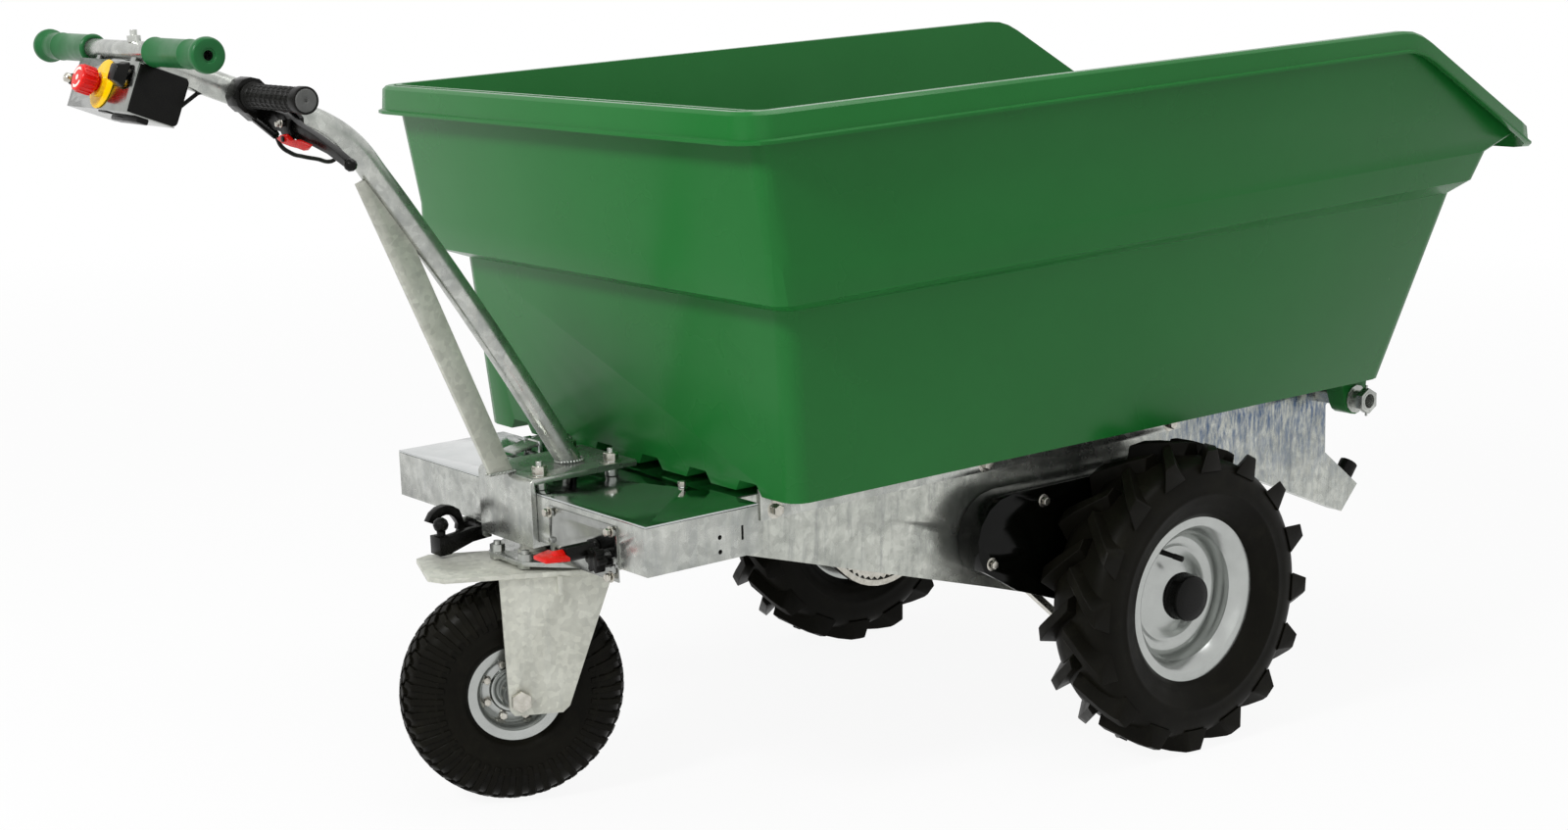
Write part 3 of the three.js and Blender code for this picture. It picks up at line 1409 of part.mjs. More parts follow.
part('control_bracket', controlBracket(), stainless(), controls);

function controlEnclosure() {
  const half = controlWidth / 2 - controlSheet;
  const inset = controlSheet + gap;
  const outline = roundedRectangle(inset, controlDepth - gap, -controlHeight + inset, -inset,
    controlHeight * enclosureCornerShare);
  const outside = plateXZ(outline, -half, half);
  const inside = box(inset - overrun, controlDepth - gap - enclosureWall, -half + enclosureWall,
    half - enclosureWall, -controlHeight + inset + enclosureWall, -inset - enclosureWall);
  const cableHole = barXAt(0, -controlHeight * 0.6, cableRadius + gap, controlDepth * 0.6,
    controlDepth + overrun, 10);
  return cut(outside, inside, cableHole, poleRoom());
}

part('control_enclosure', controlEnclosure(), blackPlastic(), controls);

// Emergency stop: a head that slides in a fixed yellow collar with a round plate behind it
function stopCollar() {
  const ring = barXAt(stopY, stopZ, stopRingRadius, -stopRingLength, -gap, smallSides);
  const outline = arcPoints(stopY, -controlHeight / 2, controlHeight / 2 - gap, 0,
    360 - 360 / stopPlateSteps, stopPlateSteps - 1);
  const plate = plateYZ(outline, -gap - controlSheet, -gap);
  const bore = barXAt(stopY, stopZ, stopStemRadius + runGap, -stopRingLength - overrun, overrun, smallSides);
  return cut(joined(ring, plate), bore);
}

function stopButton() {
  const base = -stopRingLength - stopTravel - runGap;
  const profile = [
    [0, base], [stopHeadRadius * 0.9, base], [stopHeadRadius * 0.95, base - stopHeadLength * 0.1],
    [stopHeadRadius, base - stopHeadLength * 0.5], [stopHeadRadius * 0.98, base - stopHeadLength * 0.94],
    [stopHeadRadius * 0.92, base - stopHeadLength], [0, base - stopHeadLength],
  ];
  const quarter = new THREE.Matrix4().makeRotationZ(-Math.PI / 2);
  const points = profile.map(([radius, along]) => new THREE.Vector2(radius, along)).reverse();
  const head = solid(new THREE.LatheGeometry(points, stopSides), move(0, stopY, stopZ).multiply(quarter));
  return joined(head, barXAt(stopY, stopZ, stopStemRadius, base - gap, controlSheet + stopStemInside, smallSides));
}

part('stop_collar', stopCollar(), material(0xe6b800, 0.45, 0), controls);
part('emergency_stop', stopButton(), redPlastic(), controls);

// Direction switch: a rocking lever in a square boot
function directionSwitch() {
  const ring = (half, x) => roundedRectangle(switchY - half, switchY + half, switchZ - half, switchZ + half,
    half * 0.3, 2).map(([y, z]) => [x, y, z]);
  const baseX = -switchHalf * Math.sin(switchSwing * degrees) - gap;
  const boot = loft([
    ring(switchHalf * 0.62, -switchReach), ring(switchHalf * 0.74, -switchReach * 0.55), ring(switchHalf, baseX),
  ]);
  return boot.add(barXAt(switchY, switchZ, switchStem, baseX - gap, controlSheet + switchInside, smallSides));
}

part('direction_switch', directionSwitch(), blackPlastic(), controls);

// Speed knob with a bright tip
function speedKnob() {
  return joined(
    barXAt(knobY, knobZ, knobRadius, -knobLength * 0.75, -gap, smallSides),
    barXAt(knobY, knobZ, knobRadius * 0.75, -knobLength, -knobLength * 0.7, smallSides),
    barXAt(knobY, knobZ, knobRadius * 0.5, -gap * 2, controlSheet + knobLength * 0.4, 12),
  );
}

part('speed_knob', speedKnob(), blackPlastic(), controls);

// Brake grip with ribs, on the stub of the pole
const brakeGripRibs = 7;
const brakeGripCollar = 4;
const brakeGripEnd = 4;

function brakeGrip() {
  const start = -brakeGripStart - gap;
  const end = -brakeGripStart - brakeGripLength;
  const bore = stubRadius + gap;
  const ribbed = brakeGripLength * 0.84;
  const first = start - brakeGripCollar;
  const profile = [[bore, start], [brakeGripRadius * 1.1, start], [brakeGripRadius * 1.1, first]];
  for (let rib = 0; rib < brakeGripRibs; rib += 1) {
    const y = first - ribbed * (rib + 0.25) / brakeGripRibs;
    profile.push([brakeGripRadius * 0.93, y], [brakeGripRadius, y - ribbed * 0.4 / brakeGripRibs]);
  }
  profile.push(
    [brakeGripRadius * 1.1, first - ribbed - gap], [brakeGripRadius * 1.1, end + brakeGripEnd / 2],
    [brakeGripRadius, end], [0, end], [0, end + brakeGripEnd], [bore, end + brakeGripEnd],
  );
  return turned([...profile, profile[0]].reverse(), smallSides).translate([brakeX, 0, brakeZ]);
}

part('brake_grip', brakeGrip(), rubber(), chassis);

// Brake perch: a clamp on the stub, a block below it that ends in the cable adjuster, and two arms
// that hold the lever between them. The pin of the parking lock stands on the front arm.
const leverPivotX = -1133;
const leverPivotY = -90;
const leverPivotZ = 719.7;
const leverThickness = 9;
const leverPinRadius = 3;
const leverPinHead = 3.6;
const perchRadius = 21;
const perchStart = 12;
const perchArm = 5;
const lockPivotY = -98.7;
const lockPivotZ = 703.3;
const lockPinRadius = 2;
const lockPinHead = 3.4;
const lockPinHeadLength = 1.5;
const adjusterRadius = 5;
const adjusterSteps = 4;
const perchBlock = [[-1172, 742], [-1163, 732], [-1149.5, 719.3], [-1123, 722], [-1123, 741], [-1140, 749]];
const perchArmTop = [[-99, 713], [-99, 725], [-91, 730], [-58, 734], [-36, 738], [-14, 738]];
const perchFrontArm = [[-14, 727], [-44, 717], [-58, 712], [-80, 710], [-88, 699], [-96, 696], [-104, 699],
  [-104, 707], ...perchArmTop];
const perchRearArm = [[-14, 727], [-44, 717], [-70, 711], [-95, 710], ...perchArmTop];
const adjusterPoints = [[-1149, -30, 723], [-1145, -47, 714], [-1141, -64, 705]];
const armFrontX = leverPivotX - leverThickness / 2 - runGap - perchArm;
const armRearX = leverPivotX + leverThickness / 2 + runGap;

function brakePerch() {
  const clamp = barY(brakeX, brakeZ, perchRadius, -brakeGripStart, -perchStart, smallSides);
  const block = plateXZ(perchBlock, -brakeGripStart, -perchStart);
  const bore = barY(brakeX, brakeZ, stubRadius + gap, -brakeGripStart - overrun, -perchStart + overrun, smallSides);
  const frontArm = plateYZ(perchFrontArm, armFrontX, armFrontX + perchArm);
  const rearArm = plateYZ(perchRearArm, armRearX, armRearX + perchArm);
  const adjuster = rodAlong(adjusterPoints, adjusterRadius, cableSides, adjusterSteps);
  const pin = barXAt(leverPivotY, leverPivotZ, leverPinRadius, armFrontX - overrun, armRearX + perchArm + overrun, 10);
  const pinHead = barXAt(leverPivotY, leverPivotZ, leverPinHead, armFrontX - overrun, armFrontX + gap, 6);
  const lockPin = barXAt(lockPivotY, lockPivotZ, lockPinRadius, lockX - gap - lockPinHeadLength,
    armFrontX + gap, 10);
  const lockHead = barXAt(lockPivotY, lockPivotZ, lockPinHead, lockX - gap - lockPinHeadLength, lockX - gap, 10);
  const pole = rodAlong(polePoints, poleRadius + gap, smallSides, poleSteps);
  return cut(joined(clamp, block, frontArm, rearArm, adjuster, pin, pinHead, lockPin, lockHead), bore, pole);
}

// Brake lever: a tapered blade that ends in a ball. Its outline runs along the line from the pivot
// to the ball, as (share of the length, share of the width above the line).
const leverDrop = 39.1;
const leverWidth = 20;
const leverBallRadius = 7.5;
const leverOutline = [
  [-0.22, -0.3], [-0.1, 0.35], [0.06, 0.35], [0.18, 0.28], [0.46, 0.38], [0.75, 0.36], [0.97, 0.25],
  [0.97, -0.2], [0.67, -0.16], [0.42, -0.33], [0.08, -0.68], [-0.14, -0.7],
];

function brakeLever() {
  const blade = plateYZ(leverOutline.map(([along, above]) => [
    leverPivotY - leverLength * along, leverPivotZ - leverDrop * along + leverWidth * above,
  ]), leverPivotX - leverThickness / 2, leverPivotX + leverThickness / 2);
  const ball = solid(new THREE.SphereGeometry(leverBallRadius, sphereSides, sphereRings),
    move(leverPivotX, leverPivotY - leverLength, leverPivotZ - leverDrop));
  const pinHole = barXAt(leverPivotY, leverPivotZ, leverPinRadius + gap, leverPivotX - leverThickness,
    leverPivotX + leverThickness, 10);
  return cut(joined(blade, ball), pinHole);
}

// Parking lock: a small red catch on its own pin, beside the lever. Its outline is given as
// (share of the reach, share of the drop) from the pin.
const lockSheet = 6;
const lockReach = 59;
const lockDrop = 10;
const lockEye = 5.3;
const lockX = armFrontX - gap - lockSheet;
const lockOutline = [
  [-0.29, 0.06], [-0.06, 0.53], [0.28, 0.77], [0.55, 0.86], [0.8, 1.04], [1, 0.39], [0.52, -0.07],
  [0.26, 0.06], [0.09, -0.34], [-0.115, -0.42],
];

function parkingLock() {
  const blade = plateYZ(lockOutline.map(([along, down]) => [
    lockPivotY - lockReach * along, lockPivotZ - lockDrop * down,
  ]), lockX, lockX + lockSheet);
  const eye = barXAt(lockPivotY, lockPivotZ, lockEye, lockX, lockX + lockSheet, smallSides);
  const bore = barXAt(lockPivotY, lockPivotZ, lockPinRadius + gap, lockX - overrun, lockX + lockSheet + overrun, 10);
  return cut(joined(blade, eye), bore);
}

part('brake_perch', brakePerch(), blackPlastic(), chassis);
part('brake_lever', brakeLever(), blackPlastic(), chassis);
part('parking_lock', parkingLock(), redPlastic(), chassis);

// The cables themselves
part('brake_cable', rodAlong(brakeCablePoints, cableRadius, cableSides, cableSteps), rubber(), chassis);
part('control_cable', rodAlong(controlCablePoints, cableRadius, cableSides, cableSteps), rubber(), chassis);

// Tub latch: a pedal on a sleeve under the box, and the hook that it pulls back
const pedalPivotX = -820;
const pedalPivotZ = 160;
const pedalRightY = 81;
const pedalLeftY = 122;
const latchRoom = 12;
const pedalLength = 68;
const pedalArm = 9;
const pedalSleeve = 9;
const pedalPinRadius = 4;
const pedalPinHead = 13;
const pedalPinHeadLength = 4;
const pedalNear = 8;
const pedalFar = 20;
const pedalTread = 14;
const pedalTreadWidth = 18;
const pedalTreadTop = 2;
const pedalTreadBottom = -19;
const pedalToe = 10;
const knobBallRadius = 8;
const knobNeckRadius = 4;
const knobNeckHeight = 12;
const knobInset = 9;
const knobRise = 17;
const camLead = 38;
const camRise = 6;
const camX = pedalPivotX - camLead;
const camZ = pedalPivotZ + camRise;
const camOuter = 27;
const camInner = 18;
const camStart = -20;
const camEnd = 155;
const camSteps = 8;

// The latch hook reaches into the first channel of the tub floor beyond the pedal
const channelYs = Array.from({ length: runnerCount - 1 }, (_, index) => channelY(index));
const latchY = channelYs.find((y) => y > pedalLeftY + latchRoom);

function pedalPin() {
  const y0 = pedalRightY - pedalArm / 2 - gap;
  return joined(
    barY(pedalPivotX, pedalPivotZ, pedalPinRadius, y0, pedalLeftY + pedalArm, 10),
    hexY(pedalPivotX, pedalPivotZ, y0 - pedalPinHeadLength, y0, pedalPinHead),
  );
}

// The curved arm that pulls the rod of the hook
function pedalCam() {
  const outer = arcPoints(camX, camZ, camOuter, camStart, camEnd, camSteps);
  const inner = arcPoints(camX, camZ, camInner, camEnd, camStart, camSteps);
  const web = plateXZ([
    [pedalPivotX + pedalNear, pedalPivotZ - pedalNear], [pedalPivotX + pedalNear, pedalPivotZ + pedalNear],
    [pedalPivotX - pedalTread, pedalPivotZ + pedalNear], [pedalPivotX - pedalFar, pedalPivotZ - pedalSleeve / 2],
  ], pedalLeftY - pedalArm, pedalLeftY);
  return joined(plateXZ([...outer, ...inner], pedalLeftY - pedalArm, pedalLeftY), web);
}

function releasePedal() {
  const tip = pedalPivotX - pedalLength;
  const top = pedalPivotZ + pedalTreadTop;
  const bottom = pedalPivotZ + pedalTreadBottom;
  const arm = plateXZ([
    [pedalPivotX + pedalNear, pedalPivotZ - pedalNear], [pedalPivotX + pedalNear, pedalPivotZ + pedalNear],
    [pedalPivotX - pedalFar, pedalPivotZ + pedalNear], [tip + pedalTread, top], [tip, top], [tip, bottom],
    [tip + pedalToe, bottom], [pedalPivotX - pedalFar, pedalPivotZ - pedalToe],
  ], pedalRightY - pedalArm / 2, pedalRightY + pedalArm / 2);
  const tread = box(tip, tip + pedalTread, pedalRightY - pedalArm / 2, pedalRightY + pedalTreadWidth, bottom, top);
  const ballY = pedalRightY + knobBallRadius;
  const neck = barZAt(tip + knobInset, ballY, knobNeckRadius, pedalPivotZ, pedalPivotZ + knobNeckHeight, 10);
  const ball = solid(new THREE.SphereGeometry(knobBallRadius, sphereSides, sphereRings),
    move(tip + knobInset, ballY, pedalPivotZ + knobRise));
  const sleeve = barY(pedalPivotX, pedalPivotZ, pedalSleeve, pedalRightY, pedalLeftY, smallSides);
  const bore = barY(pedalPivotX, pedalPivotZ, pedalPinRadius + gap, pedalRightY - pedalArm,
    pedalLeftY + pedalArm, 12);
  return cut(joined(arm, tread, neck, ball, sleeve, pedalCam()), bore);
}

part('release_pedal', releasePedal(), blackPlastic(), chassis);

// Pedal bracket: a cheek under the box that holds the pedal pin
const cheekSheet = 4;
const cheekReach = 34;
const cheekRear = 5;
const cheekEdge = 6;
const cheekFootSheet = 3;
const cheekFootLength = 20;

function pedalBracket() {
  const y0 = pedalLeftY + gap;
  const y1 = y0 + cheekSheet;
  const top = boxBottomZ - gap;
  const front = boxRearX + cheekReach;
  const cheek = plateXZ([
    [pedalPivotX - pedalSleeve, pedalPivotZ], [pedalPivotX - cheekRear, pedalPivotZ - pedalSleeve],
    [pedalPivotX + pedalNear, pedalPivotZ - pedalSleeve], [front, top - cheekEdge], [front, top],
    [boxRearX - cheekRear, top],
  ], y0, y1);
  const foot = box(front - cheekFootLength, front, bracketLeft + gap, y1, top - cheekFootSheet, top);
  return joined(cheek, foot, pedalPin());
}

part('pedal_bracket', pedalBracket(), galvanised(), chassis);

const hookPivotX = -690;
const hookPivotZ = 244;
const hookWidth = 34;
const hookSheet = 3;
const hookBarrel = 5;
const hookTail = 42;
const hookTailDrop = 4;
const hookWaist = 8;
const hookStep = 6;
const hookRise = 20;
const hookEntry = 4;
const pinRadius = 2.5;

function latchHook() {
  const y0 = latchY - hookWidth / 2;
  const y1 = latchY + hookWidth / 2;
  const over = hookPivotZ + hookSheet;
  const under = hookPivotZ - gap;
  const tipX = tubBottomRearX + hookEntry;
  const arm = plateXZ([
    [hookPivotX - hookTail, hookPivotZ - hookTailDrop], [hookPivotX - hookWaist, over],
    [hookPivotX + hookStep, over], [hookPivotX + hookRise, over + hookSheet], [tipX, over + hookSheet],
    [tipX, over], [hookPivotX + hookRise, over], [hookPivotX + hookStep, under],
    [hookPivotX - hookWaist, under], [hookPivotX - hookTail, hookPivotZ - hookTailDrop - hookSheet],
  ], y0, y1);
  const barrel = barY(hookPivotX, hookPivotZ, hookBarrel, y0, y1, 12);
  const bore = barY(hookPivotX, hookPivotZ, pinRadius + gap, y0 - overrun, y1 + overrun, 10);
  return cut(joined(arm, barrel), bore);
}

part('latch_hook', latchHook(), galvanised(), chassis);

// Two ears on the cover hold the pin of the hook
function latchPin() {
  const y0 = latchY - hookWidth / 2 - gap;
  const y1 = latchY + hookWidth / 2 + gap;
  const earSheet = hookSheet * 1.3;
  const ear = (from, to) => box(hookPivotX - pinRadius * 2.4, hookPivotX + pinRadius * 2.4, from, to, boxTopZ + gap,
    hookPivotZ + pinRadius * 2.4);
  return joined(barY(hookPivotX, hookPivotZ, pinRadius, y0 - earSheet, y1 + earSheet, 10),
    ear(y0 - earSheet, y0), ear(y1, y1 + earSheet));
}

part('electrics_cover', joined(electricsCover(), latchPin()), stainless(), chassis);

// Caster: fork weldment with its crown, turning on the kingpin under the box
const wheelOffset = -casterTrail;
const crownRear = 142;
const crownFront = 105;
const crownHalf = 68;
const crownChamfer = 18;
const crownNose = 13;
const cheekTopRear = -24;
const cheekTopFront = 122;
const cheekLowRear = -8;
const cheekLowFront = 54;
const cheekSideRear = -14;
const cheekSideFront = 63;
const cheekBelow = 20;
const cheekSideBelow = 12;
const tabLength = 6;
const tabReach = 12;
const tabDrop = 24;

function casterFork() {
  const crownTop = crownZ + crownPlate;
  const crown = plateXY([
    [-crownRear, -crownHalf + crownChamfer], [-crownRear + crownChamfer, -crownHalf],
    [crownFront - crownNose, -crownHalf], [crownFront, -crownHalf + crownNose],
    [crownFront, crownHalf - crownNose], [crownFront - crownNose, crownHalf],
    [-crownRear + crownChamfer, crownHalf], [-crownRear, crownHalf - crownChamfer],
  ], crownZ, crownTop);
  const welded = crownZ + gap;
  const plateOutline = [
    [wheelOffset + cheekTopRear, welded], [wheelOffset + cheekSideRear, casterRadius - cheekSideBelow],
    [wheelOffset + cheekLowRear, casterRadius - cheekBelow], [wheelOffset + cheekLowFront, casterRadius - cheekBelow],
    [wheelOffset + cheekSideFront, casterRadius - cheekSideBelow], [wheelOffset + cheekTopFront, welded],
  ];
  const cheeks = [-1, 1].map((side) => {
    const [y0, y1] = onSide(side, forkInnerHalf, forkInnerHalf + forkPlate);
    return plateXZ(plateOutline, y0, y1);
  });
  const tabs = [-1, 1].map((side) => {
    const [y0, y1] = onSide(side, forkInnerHalf + forkPlate - gap, forkInnerHalf + forkPlate + tabReach);
    return box(wheelOffset + cheekLowFront - tabLength, wheelOffset + cheekLowFront, y0, y1, crownZ - tabDrop, welded);
  });
  const washer = barZAt(0, 0, thrustRadius, crownTop - gap, crownTop + thrustWasher, roundSides);
  const plateTop = crownTop + thrustWasher + gap + swivelPlate;
  const pin = barZAt(0, 0, kingpinRadius, crownZ, plateTop + kingpinNut + gap * 8, smallSides);
  const nutWasher = barZAt(0, 0, kingpinRadius * 1.9, plateTop + gap, plateTop + gap + rimSheet, roundSides);
  const nut = hexZ(0, 0, plateTop + rimSheet, kingpinRadius * 3, kingpinNut - rimSheet);
  const boltHole = barY(wheelOffset, casterRadius, casterBoltRadius + gap, -forkInnerHalf - forkPlate - overrun,
    forkInnerHalf + forkPlate + overrun, smallSides);
  return cut(joined(crown, ...cheeks, ...tabs, washer, pin, nutWasher, nut), boltHole);
}

part('caster_fork', casterFork(), galvanised(), casterFrame);

const casterBoltHead = 24;
const casterBoltHeadLength = 9;
const casterNutLength = 10;

function casterBolt() {
  const face = forkInnerHalf + forkPlate + gap;
  return joined(
    barY(wheelOffset, casterRadius, casterBoltRadius, -face - overrun, face + casterNutLength + overrun, smallSides),
    hexY(wheelOffset, casterRadius, -face - casterBoltHeadLength, -face, casterBoltHead),
    hexY(wheelOffset, casterRadius, face, face + casterNutLength, casterBoltHead),
  );
}

part('caster_axle_bolt', casterBolt(), brightSteel(), casterFrame);

function casterTyre() {
  const beadHalf = casterRimWidth / 2 - rimSheet * 1.6 - gap;
  const tyre = carcass(casterRadius, casterSeatRadius + gap, casterRimRadius, casterTyreWidth / 2, beadHalf,
    tyreWall, wheelSides);
  return tyre.translate([wheelOffset, 0, casterRadius]);
}

part('caster_tyre', casterTyre(), rubber(), casterFrame);

const casterHubRadius = 20;
const casterDiscHalf = 4;

function casterRim() {
  const ring = rimSection(casterRimRadius, casterSeatRadius, casterRimWidth, rimSheet);
  const wellInner = casterSeatRadius - rimSheet * 4.5;
  const hubHalf = forkInnerHalf - runGap * 2;
  const disc = [
    [casterHubRadius - gap, -casterDiscHalf], [casterHubRadius - gap, casterDiscHalf],
    [wellInner + gap, casterDiscHalf], [wellInner + gap, -casterDiscHalf],
  ];
  const hub = [
    [casterBoltRadius + gap, -hubHalf], [casterBoltRadius + gap, hubHalf], [casterBoltRadius * 1.7, hubHalf],
    [casterHubRadius, hubHalf * 0.5], [casterHubRadius, -hubHalf * 0.5], [casterBoltRadius * 1.7, -hubHalf],
  ];
  const rim = joined(turned([...ring, ring[0]]), turned([...disc, disc[0]], roundSides),
    turned([...hub, hub[0]], roundSides));
  return rim.translate([wheelOffset, 0, casterRadius]);
}

part('caster_rim', casterRim(), silverPaint(), casterFrame);

// Swivel plate: the fork hangs under it, and folded cheeks and studs carry it from the box floor
const swivelRear = 42;
const swivelRearHalf = 36;
const swivelHalf = 88;
const swivelFront = 84;
const swivelCheekHalf = 44;
const swivelStudRadius = 5;
const swivelCornerEnd = 240;

function swivelMount() {
  const z0 = crownZ + crownPlate + thrustWasher + gap;
  const flare = swivelHalf - swivelRearHalf;
  const corner = (side) => {
    const points = arcPoints(-swivelRear + kingpinRadius, -swivelRearHalf, kingpinRadius, 180, swivelCornerEnd, cornerSteps);
    return side > 0 ? points.map(([x, y]) => [x, -y]).reverse() : points;
  };
  const plate = plateXY([
    ...corner(1), ...corner(-1), [flare - swivelRear, -swivelHalf],
    [swivelFront, -swivelHalf], [swivelFront, swivelHalf], [flare - swivelRear, swivelHalf],
  ], z0, z0 + swivelPlate);
  const hole = barZAt(0, 0, kingpinRadius + runGap, z0 - overrun, z0 + swivelPlate + overrun, roundSides);
  const boxUnder = driveRadius + (boxBottomZ - gap) / Math.cos(rakeAngle * degrees);
  const underAt = (x) => boxUnder + (kingpinX + x) * Math.tan(rakeAngle * degrees);
  const wallRear = swivelPlate * 3;
  const wall = (from, to, y0, y1) => plateXZ([
    [from, z0 + swivelPlate / 2], [to, z0 + swivelPlate / 2], [to, underAt(to)], [from, underAt(from)],
  ], y0, y1);
  const cheeks = [-1, 1].map((side) => (
    wall(wallRear, swivelFront, ...onSide(side, swivelCheekHalf - swivelPlate, swivelCheekHalf))));
  const back = wall(swivelFront - swivelPlate, swivelFront, -swivelCheekHalf, swivelCheekHalf);
  const studX = -swivelRear + swivelStudRadius * 2;
  const studs = [-1, 1].map((side) => {
    const y = side * (swivelRearHalf - swivelStudRadius * 0.4);
    return joined(
      barZAt(studX, y, swivelStudRadius, z0 + swivelPlate / 2, z0 + swivelPlate + swivelStudRadius * 2.6, 10),
      hexZ(studX, y, z0 + swivelPlate - gap, swivelStudRadius * 3.4, swivelStudRadius * 1.8),
      hexZ(studX, y, z0 - swivelStudRadius * 0.8, swivelStudRadius * 3.4, swivelStudRadius));
  });
  return joined(cut(plate, hole), ...cheeks, back, ...studs).translate([kingpinX, 0, 0]);
}

part('swivel_plate', swivelMount(), galvanised(), machine);

// The origin is under the middle of the machine's length, on the ground
machine.updateMatrixWorld(true);
const bounds = new THREE.Box3().setFromObject(machine, true);
const group = new THREE.Group();
machine.position.x = -(bounds.min.x + bounds.max.x) / 2;
machine.position.y = -(bounds.min.y + bounds.max.y) / 2;
machine.position.z = -bounds.min.z;
group.add(machine);
group.updateMatrixWorld(true);

export default group;
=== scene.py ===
"""Looks of the electric mini dumper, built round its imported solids.

Metres throughout, in the part's own frame: +X towards the dump end, +Y to the machine's left,
+Z up. Sizes in the classes are in millimetres and are turned to metres by MM.
"""

import json
import logging
import math
from dataclasses import dataclass, field
from enum import Enum
from typing import Callable, Iterable, Sequence

import bpy
from bpy.types import Material, Node, NodeSocket, NodeTree, Object, World
from mathutils import Matrix, Vector

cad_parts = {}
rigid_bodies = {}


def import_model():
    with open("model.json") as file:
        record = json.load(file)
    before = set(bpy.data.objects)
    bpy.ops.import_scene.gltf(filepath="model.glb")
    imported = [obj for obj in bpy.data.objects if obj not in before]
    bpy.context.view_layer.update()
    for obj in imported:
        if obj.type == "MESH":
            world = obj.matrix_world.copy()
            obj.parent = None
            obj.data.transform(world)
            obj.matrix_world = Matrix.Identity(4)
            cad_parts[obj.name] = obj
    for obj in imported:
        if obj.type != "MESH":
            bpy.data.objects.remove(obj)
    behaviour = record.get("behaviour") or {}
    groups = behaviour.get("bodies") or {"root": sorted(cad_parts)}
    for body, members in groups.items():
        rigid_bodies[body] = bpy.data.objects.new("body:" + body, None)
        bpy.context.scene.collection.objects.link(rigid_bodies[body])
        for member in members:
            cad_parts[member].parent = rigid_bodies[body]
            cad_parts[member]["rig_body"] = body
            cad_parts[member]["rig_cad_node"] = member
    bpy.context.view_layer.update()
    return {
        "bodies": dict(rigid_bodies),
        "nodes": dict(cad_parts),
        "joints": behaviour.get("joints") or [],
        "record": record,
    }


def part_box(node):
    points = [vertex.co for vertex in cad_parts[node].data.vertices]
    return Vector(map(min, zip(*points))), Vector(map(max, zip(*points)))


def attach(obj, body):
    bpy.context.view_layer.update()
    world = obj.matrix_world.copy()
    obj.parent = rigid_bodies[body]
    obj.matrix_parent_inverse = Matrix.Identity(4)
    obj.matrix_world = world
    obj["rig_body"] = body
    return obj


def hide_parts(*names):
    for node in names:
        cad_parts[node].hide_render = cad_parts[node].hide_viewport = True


LOG = logging.getLogger("dumper")
MM = 0.001
UP = Vector((0.0, 0.0, 1.0))
HOME = Matrix.Identity(4)
FULL_TURN = 2 * math.pi
WAYS = (1, -1)
Point = tuple[float, float, float]
Profile = Sequence[tuple[float, float]]


def shift(x: float, y: float, z: float) -> Matrix:
    """A move by millimetres."""
    return Matrix.Translation(Vector((x, y, z)) * MM)


def spun(angle: float) -> Matrix:
    """A turn about Y, in radians."""
    return Matrix.Rotation(angle, 4, "Y")


def shares(count: int, start: float = 0.0) -> list[Matrix]:
    """Turns about Y that share a circle out evenly, the first one a share of a step from zero."""
    return [spun(FULL_TURN * (index + start) / count) for index in range(count)]


def mirrored(half: Profile) -> Profile:
    """Half an outline of (radius, offset) and its mirror image, as one line."""
    return [*half, *((r, -y) for r, y in reversed(half))]


class Side(Enum):
    """The machine's two sides, as the sign of Y."""

    LEFT = 1
    RIGHT = -1

    def of(self, thing: str) -> str:
        """Name of this side's thing."""
        return f"{self.name.lower()}_{thing}"

    @property
    def flip(self) -> Matrix:
        """Mirror that turns the left side's shape into this side's."""
        return Matrix.Diagonal((1, self.value, 1, 1))


# Frames of the sub-assemblies


@dataclass(frozen=True)
class Stance:
    """How the machine's groups stand in the part's frame.

    Args:
        axle: centre of the drive axle, in metres.
        rake: how far the chassis leans nose up, in degrees.
        box_tilt: how far the control box leans against the chassis, in degrees.
        bar: the cross bar's middle in the chassis frame, as x and z.
        box_lead: how far the box's front edge stands behind the bar's middle.
        box_drop: how far the box's top edge lies under the bar's middle.
    """

    axle: Vector
    rake: float = 2.3
    box_tilt: float = 22.1
    bar: tuple[float, float] = (-1284.8, 807.0)
    box_lead: float = 16.9
    box_drop: float = 14.7

    @property
    def wheels(self) -> Matrix:
        """Frame of the drive wheels."""
        return Matrix.Translation(self.axle)

    @property
    def chassis(self) -> Matrix:
        """Frame of the raked chassis."""
        return self.wheels @ spun(math.radians(-self.rake))

    @property
    def controls(self) -> Matrix:
        """Frame of the control box: its front top edge, leaned with the box."""
        tilt = math.radians(self.box_tilt)
        drop = (self.box_drop - self.box_lead * math.sin(tilt)) / math.cos(tilt)
        return self.chassis @ shift(self.bar[0] - self.box_lead, 0.0, self.bar[1] - drop) @ spun(tilt)


def joint_frame(frame: dict, name: str) -> Matrix:
    """Frame of a hinge: its point, with Y along its axis.

    Args:
        name: the joint's name.

    Returns:
        The frame as a matrix, in metres.
    """
    joint = next(entry for entry in frame["joints"] if entry["name"] == name)
    axis = Vector(joint["axis"]).normalized()
    across = axis.cross(UP).normalized()
    turn = Matrix((across, axis, across.cross(axis))).transposed().to_4x4()
    return Matrix.Translation(Vector(joint["pos_m"])) @ turn


# Bench: modelling with Blender's own tools


def deselect() -> None:
    """Leaves nothing selected."""
    bpy.ops.object.select_all(action="DESELECT")


def take(piece: Object) -> Object:
    """Selects one piece alone and makes it active."""
    deselect()
    piece.select_set(True)
    bpy.context.view_layer.objects.active = piece
    return piece


def linked(made: Object) -> Object:
    """Puts a new object into the scene."""
    bpy.context.scene.collection.objects.link(made)
    return made


